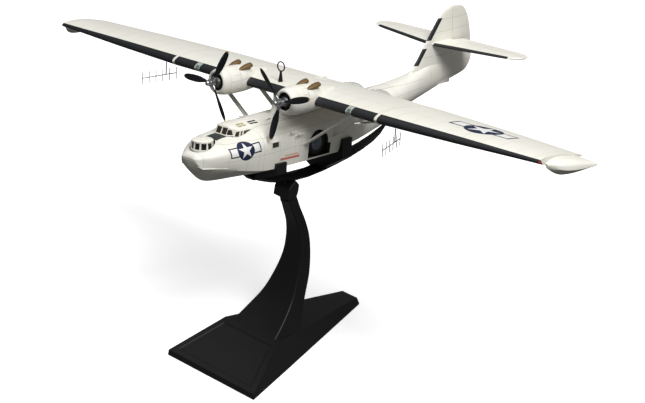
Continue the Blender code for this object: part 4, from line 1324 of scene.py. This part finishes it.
class PowerStep(bpy.types.Operator):
    """Makes the nacelles, cowls, engines, exhausts and propellers"""

    bl_idname = "flying_boat.power"
    bl_label = "Engines"

    def execute(self, context):
        paints = Paints.shared(context.scene)
        for name, side in SIDES:
            outline = [(NACELLE_FRONT, 0.0)] + smoothed(NACELLE, 4) + [(55.2, 0.0)]
            nacelle = spun(outline, 56, place=thrust(side))
            piece("nacelle_skin_" + name, nacelle, paints.nacelle, ("nacelle_" + name,), angle=40.0)
            cowl = spun(COWL_INSIDE + through(COWL, 5), 64, True, thrust(side))
            piece("cowl_skin_" + name, cowl, paints.nacelle, ("cowl_" + name,), angle=50.0)
            self.engine(name, side, paints)
            self.exhausts(name, side, paints)
            self.propeller(name, side, paints)
        return {"FINISHED"}

    def engine(self, name, side, paints):
        """A crankcase, a plate and a ring of finned cylinders with their push rods."""
        mesh = bmesh.new()
        spin_in(mesh, CRANKCASE_NOSE + through(CRANKCASE, 3) + [(9.6, 0.0)], 32)
        spin_in(mesh, ENGINE_PLATE, 40)
        seat = AFT * CYLINDER_Y
        for step in range(CYLINDERS):
            angle = 2 * math.pi * (step + 0.5) / CYLINDERS
            way = Vector((math.cos(angle), 0.0, math.sin(angle)))
            rod_in(mesh, seat + way * 2.8, seat + way * 7.3, 0.86, 0.8, 12)
            for fin in range(COOLING_FINS):
                level = 4.1 + 0.44 * fin
                rod_in(mesh, seat + way * level, seat + way * (level + 0.18), 1.2, 1.2, 14)
            beside = Vector((-way.z, 0.0, way.x)) * 0.55
            for hand in (1, -1):
                start = way * 2.6 + beside * hand * 0.8 + AFT * 5.6
                rod_in(mesh, start, way * 7.1 + beside * hand + AFT * 6.5, 0.17, 0.17, 6)
        bmesh.ops.remove_doubles(mesh, verts=mesh.verts, dist=SAME_POINT)
        move(mesh, thrust(side))
        piece("radial_engine_" + name, mesh, paints.engine, ("engine_" + name,))

    def exhausts(self, name, side, paints):
        """Flattened leaf-shaped outlets with an open rear end."""
        for place, across in EXHAUSTS:
            start = on(side, THRUST_X + across, *EXHAUST_START)
            end = on(side, THRUST_X + across * 1.1, *EXHAUST_END)
            wide = Vector((1.0, 0.0, 0.0))
            lift = wide.cross((end - start).normalized())
            rings = [oval(start.lerp(end, t), wide * half, lift * tall) for t, half, tall in EXHAUST]
            node = "exhaust_" + place + "_" + name
            piece(node + "_skin", lofted(rings), paints.exhaust, (node,), angle=50.0)

    def propeller(self, name, side, paints):
        """Handed blades, each turned in its socket on the hub."""
        blades = bmesh.new()
        hub = bmesh.new()
        spin_in(hub, [(-5.7, 0.0)] + through(DOME, 4) + HUB, 36)
        for k in range(BLADES):
            angle = FIRST_BLADE[side] + 2 * math.pi * k / BLADES
            way = Vector((math.cos(angle), 0.0, math.sin(angle)))
            across = Vector((-math.sin(angle), 0.0, math.cos(angle)))
            rod_in(hub, way * 1.4, way * 4.7, 1.15, 1.0, 20)
            rod_in(hub, way * 3.1, way * 3.7, 1.4, 1.4, 20)
            rings = []
            for radius, chord, thick, pitch in smoothed(BLADE, 4):
                level = math.cos(math.radians(pitch))
                twist = side * math.sin(math.radians(pitch))
                wide = (across * level + AFT * twist) * 0.5 * chord
                deep = (AFT * level - across * twist) * 0.5 * thick
                rings.append(oval(way * radius, wide, deep, 18))
            loft(blades, rings)
        bmesh.ops.remove_doubles(hub, verts=hub.verts, dist=SAME_POINT)
        move(blades, thrust(side))
        move(hub, thrust(side))
        body = "propeller_" + name
        piece("blades_" + name, blades, paints.blade, (body,), body)
        piece("hub_" + name, hub, paints.chrome, ("spinner_" + name,), body)


class TailStep(bpy.types.Operator):
    """Makes the fin, rudder, tailplanes and elevators"""

    bl_idname = "flying_boat.tail"
    bl_label = "Tail"

    def execute(self, context):
        paints = Paints.shared(context.scene)
        fin = self.front_of(self.fin_form((FIN_FOOT,) + FIN))
        piece("fin_skin", fin, paints.tail, ("fin",), angle=40.0)
        rudder = self.rear_of(self.fin_form(RUDDER_FOOT + FIN[1:]))
        piece("rudder_skin", rudder, paints.tail, ("rudder",), angle=40.0)
        for name, side in SIDES:
            tailplane = self.front_of(self.tail_form(side))
            piece("tailplane_skin_" + name, tailplane, paints.tail, ("tailplane_" + name,), angle=40.0)
            elevator = self.rear_of(self.tail_form(side))
            nodes = ("elevator_" + name,)
            elevator = piece("elevator_skin_" + name, elevator, paints.tail, nodes, angle=40.0)
            carve(elevator, [block(*ELEVATOR_GAP, side)], angle=40.0)
        return {"FINISHED"}

    def front_of(self, mesh):
        return self.cut_at(mesh, HINGE_Y - HINGE_GAP, clear_outer=True)

    def rear_of(self, mesh):
        return self.cut_at(mesh, HINGE_Y, clear_inner=True)

    def cut_at(self, mesh, y, **clear):
        """Cuts a form across at y, leaves out one side and closes the other."""
        geometry = mesh.verts[:] + mesh.edges[:] + mesh.faces[:]
        cut = bmesh.ops.bisect_plane(mesh, geom=geometry, plane_co=(0.0, y, 0.0), plane_no=AFT, **clear)
        rim = [item for item in cut["geom_cut"] if isinstance(item, bmesh.types.BMEdge)]
        bmesh.ops.edgeloop_fill(mesh, edges=rim)
        return mesh

    def fin_form(self, rows):
        section = through(FIN_SECTION, 4)
        rings = []
        for z, front, rear, half in smoothed(rows, 4):
            rings.append([(x, y, z) for x, y in streamlined(section, front, rear, half)])
        return lofted(rings)

    def tail_form(self, side):
        section = through(TAIL_SECTION, 4)
        rings = []
        for x, front, rear, thick in smoothed(TAIL, 4):
            outline = streamlined(section, front, rear, 0.5 * thick)
            rings.append([(side * x, y, TAIL_Z + up) for up, y in outline])
        return lofted(rings)


class BlisterStep(bpy.types.Operator):
    """Makes the waist blisters with their frames"""

    bl_idname = "flying_boat.blisters"
    bl_label = "Waist blisters"

    def execute(self, context):
        paints = Paints.shared(context.scene)
        for name, side in SIDES:
            middle = on(side, *BLISTER_AT)
            nodes = ("blister_" + name,)
            glass = ball(middle, BLISTER_RADII)
            glass = piece("blister_glass_" + name, glass, paints.bubble, nodes, angle=60.0)
            inner = ball(middle, self.swollen(-0.4))
            carve(glass, [inner, hull_form(0.05, 3), block(*BLISTER_INBOARD, side)], angle=60.0)
            ribs = ball(middle, self.swollen(0.2), 8, Matrix.Rotation(math.radians(90), 4, "X"))
            bmesh.ops.wireframe(
                ribs,
                faces=ribs.faces,
                thickness=0.3,
                use_even_offset=True,
                use_replace=True,
                use_boundary=True,
            )
            frames = piece("blister_frames_" + name, ribs, paints.white)
            carve(frames, [hull_form(0.05, 3), block(*BLISTER_INBOARD, side)])
        return {"FINISHED"}

    def swollen(self, distance):
        return [radius + distance for radius in BLISTER_RADII]


class WheelStep(bpy.types.Operator):
    """Makes the retracted main wheels in their bays"""

    bl_idname = "flying_boat.wheels"
    bl_label = "Wheels"

    def execute(self, context):
        paints = Paints.shared(context.scene)
        for name, side in SIDES:
            turn = Matrix.Rotation(-side * math.radians(90), 4, "Z")
            place = Matrix.Translation(on(side, WHEEL_X, WHEEL_Y, WHEEL_Z)) @ turn
            body = "main_wheel_" + name
            tread = [BEAD] + through(TREAD, 4)
            tyre = spun(self.both_faces(tread, tread[:-1]), 56, True, place)
            nodes = ("tyre_" + name,)
            piece("tyre_skin_" + name, tyre, paints.rubber, nodes, body, angle=40.0)
            rim = spun(self.both_faces(RIM, RIM), 40, closed=True)
            for c, s in circle(WHEEL_NUTS):
                nut = Vector((2.6 * c, 0.0, 2.6 * s))
                rod_in(rim, nut + AFT * 0.8, nut + AFT * 1.15, 0.45, 0.4, 12)
            move(rim, place)
            piece("wheel_disc_" + name, rim, paints.grey, ("wheel_" + name,), body, angle=40.0)
            repaint("wheel_axle_" + name, paints.grey)
        return {"FINISHED"}

    def both_faces(self, outline, back):
        """An outline and its other half, mirrored."""
        return list(outline) + [(-y, r) for y, r in reversed(back)]


class AerialStep(bpy.types.Operator):
    """Makes the loop aerial and finishes the homing aerials under the wing"""

    bl_idname = "flying_boat.aerials"
    bl_label = "Aerials"

    def execute(self, context):
        paints = Paints.shared(context.scene)
        loop = bmesh.new()
        hoop_in(loop, 3.0, 0.44, Matrix.Translation((0.0, LOOP_Y, LOOP_Z)), circle(12), 40)
        rod_in(loop, (0.0, LOOP_Y, 34.0), (0.0, LOOP_Y, 40.8), 1.6, 0.6, 20)
        rod_in(loop, (0.0, LOOP_Y, 40.4), (0.0, LOOP_Y, 41.2), 0.85, 0.75, 16)
        piece("loop_aerial_ring", loop, paints.black, ("loop_aerial",))
        for name, side in SIDES:
            repaint("homing_aerial_" + name, paints.aerial)
        return {"FINISHED"}


class StandStep(bpy.types.Operator):
    """Makes the stand: its wedge-shaped base, curved neck and cradle"""

    bl_idname = "flying_boat.stand"
    bl_label = "Stand"

    def execute(self, context):
        paints = Paints.shared(context.scene)
        edge = paints.sizes.edge
        base = self.base()
        piece("base_shell", base, paints.plastic, ("stand_base",), place=ON_STAND, round_edges=edge)
        neck = bmesh.new()
        rings = []
        for z, front, rear, half in smoothed(NECK, 5):
            rings.append([(-half, front, z), (half, front, z), (half, rear, z), (-half, rear, z)])
        loft(neck, rings)
        loft(neck, [[(x, y, z) for y, z in KNUCKLE] for x in (-KNUCKLE_HALF_WIDTH, KNUCKLE_HALF_WIDTH)])
        piece(
            "neck_shell",
            neck,
            paints.plastic,
            ("stand_neck",),
            place=ON_STAND,
            angle=25.0,
            round_edges=edge,
        )
        cradle = copy_of("stand_cradle")
        piece("cradle_shell", cradle, paints.plastic, ("stand_cradle",), angle=25.0, round_edges=0.35)
        return {"FINISHED"}

    def base(self):
        """A wedge with a sunk bare panel on its front slope."""
        rings = []
        for y, low, high, top in BASE:
            half = [(low, y, 0.0), (low, y, BASE_EDGE_Z), (high, y, top)]
            rings.append([(-low, y, 0.0)] + half + [(-high, y, top), (-low, y, BASE_EDGE_Z)])
        base = lofted(rings)
        bmesh.ops.recalc_face_normals(base, faces=base.faces)
        panel = []
        for face in base.faces:
            in_front = face.calc_center_median().y < BASE[1][0]
            if face.normal.z > 0.5 and in_front and face.calc_area() > PANEL_AREA:
                panel.append(face)
        for thickness, depth in ((4.0, 0.0), (0.5, -0.35)):
            bmesh.ops.inset_region(base, faces=panel, thickness=thickness, depth=depth, use_even_offset=True)
        return base


class StageStep(bpy.types.Operator):
    """Sets up the pale floor, the soft lights and the camera"""

    bl_idname = "flying_boat.stage"
    bl_label = "Stage"

    def execute(self, context):
        self.floor(context.scene)
        self.lights(context.scene)
        self.camera(context.scene)
        context.scene.view_settings.view_transform = "Standard"
        return {"FINISHED"}

    def floor(self, scene):
        """A pale floor whose rim rises round the model; it throws no light on the model."""
        finish = Finish("pale floor")
        finish.set(
            Base_Color=finish.mix(finish.noise(0.002), (0.95, 0.95, 0.95), (0.97, 0.97, 0.97)),
            Roughness=0.9,
            Emission_Color=(1.0, 1.0, 1.0),
            Emission_Strength=FLOOR_GLOW,
        )
        mesh = bmesh.new()
        bmesh.ops.create_grid(mesh, x_segments=48, y_segments=48, size=STAGE_HALF)
        for vert in mesh.verts:
            vert.co.z = STAGE_RISE * max(0.0, vert.co.length - STAGE_FLAT) ** 2
        data = bpy.data.meshes.new("floor")
        mesh.to_mesh(data)
        mesh.free()
        data.shade_smooth()
        data.materials.append(finish.material)
        floor = bpy.data.objects.new("floor", data)
        floor.visible_diffuse = False
        floor.visible_glossy = False
        scene.collection.objects.link(floor)

    def lights(self, scene):
        scene.world = bpy.data.worlds.new("studio")
        scene.world.use_nodes = True
        backdrop = scene.world.node_tree.nodes["Background"]
        backdrop.inputs["Color"].default_value = (1.0, 1.0, 1.0, 1.0)
        backdrop.inputs["Strength"].default_value = WORLD_GLOW
        for name, place, size, power in LAMPS:
            lamp = bpy.data.lights.new(name, "AREA")
            lamp.energy = power
            lamp.size = size
            made = bpy.data.objects.new(name, lamp)
            made.location = place
            made.rotation_euler = (LAMPS_AIM - Vector(place)).to_track_quat("-Z", "Y").to_euler()
            scene.collection.objects.link(made)

    def camera(self, scene):
        azimuth, elevation, roll = CAMERA_TURN
        lens = bpy.data.cameras.new("camera")
        lens.lens = CAMERA_LENS
        lens.sensor_width = SENSOR_WIDTH
        lens.clip_start = 0.05
        made = bpy.data.objects.new("camera", lens)
        turn = Matrix.Rotation(azimuth, 4, "Z") @ Matrix.Rotation(math.pi / 2 - elevation, 4, "X")
        made.matrix_world = Matrix.Translation(CAMERA_AT) @ turn @ Matrix.Rotation(roll, 4, "Z")
        scene.collection.objects.link(made)
        scene.camera = made


class ModelPanel(bpy.types.Panel):
    """Lists the model's steps, sizes and colours in the sidebar"""

    bl_idname = "VIEW3D_PT_flying_boat"
    bl_label = "Flying boat"
    bl_space_type = "VIEW_3D"
    bl_region_type = "UI"
    bl_category = "Model"

    def draw(self, context):
        for step in STEPS:
            self.layout.operator(step.bl_idname)
        for group in (context.scene.flying_boat_sizes, context.scene.flying_boat_colours):
            for name in group.__annotations__:
                self.layout.prop(group, name)


STEPS = (
    HullStep,
    CanopyStep,
    TurretStep,
    WingStep,
    PowerStep,
    TailStep,
    BlisterStep,
    WheelStep,
    AerialStep,
    StandStep,
    StageStep,
)
CLASSES = (ModelSizes, ModelColours) + STEPS + (ModelPanel,)


def register():
    for item in CLASSES:
        bpy.utils.register_class(item)
    bpy.types.Scene.flying_boat_sizes = PointerProperty(type=ModelSizes)
    bpy.types.Scene.flying_boat_colours = PointerProperty(type=ModelColours)


def unregister():
    del bpy.types.Scene.flying_boat_sizes
    del bpy.types.Scene.flying_boat_colours
    for item in reversed(CLASSES):
        bpy.utils.unregister_class(item)


def main():
    register()
    bpy.ops.flying_boat.hull()
    bpy.ops.flying_boat.canopy()
    bpy.ops.flying_boat.turret()
    bpy.ops.flying_boat.wing()
    bpy.ops.flying_boat.power()
    bpy.ops.flying_boat.tail()
    bpy.ops.flying_boat.blisters()
    bpy.ops.flying_boat.wheels()
    bpy.ops.flying_boat.aerials()
    bpy.ops.flying_boat.stand()
    bpy.ops.flying_boat.stage()


if __name__ == "__main__":
    main()
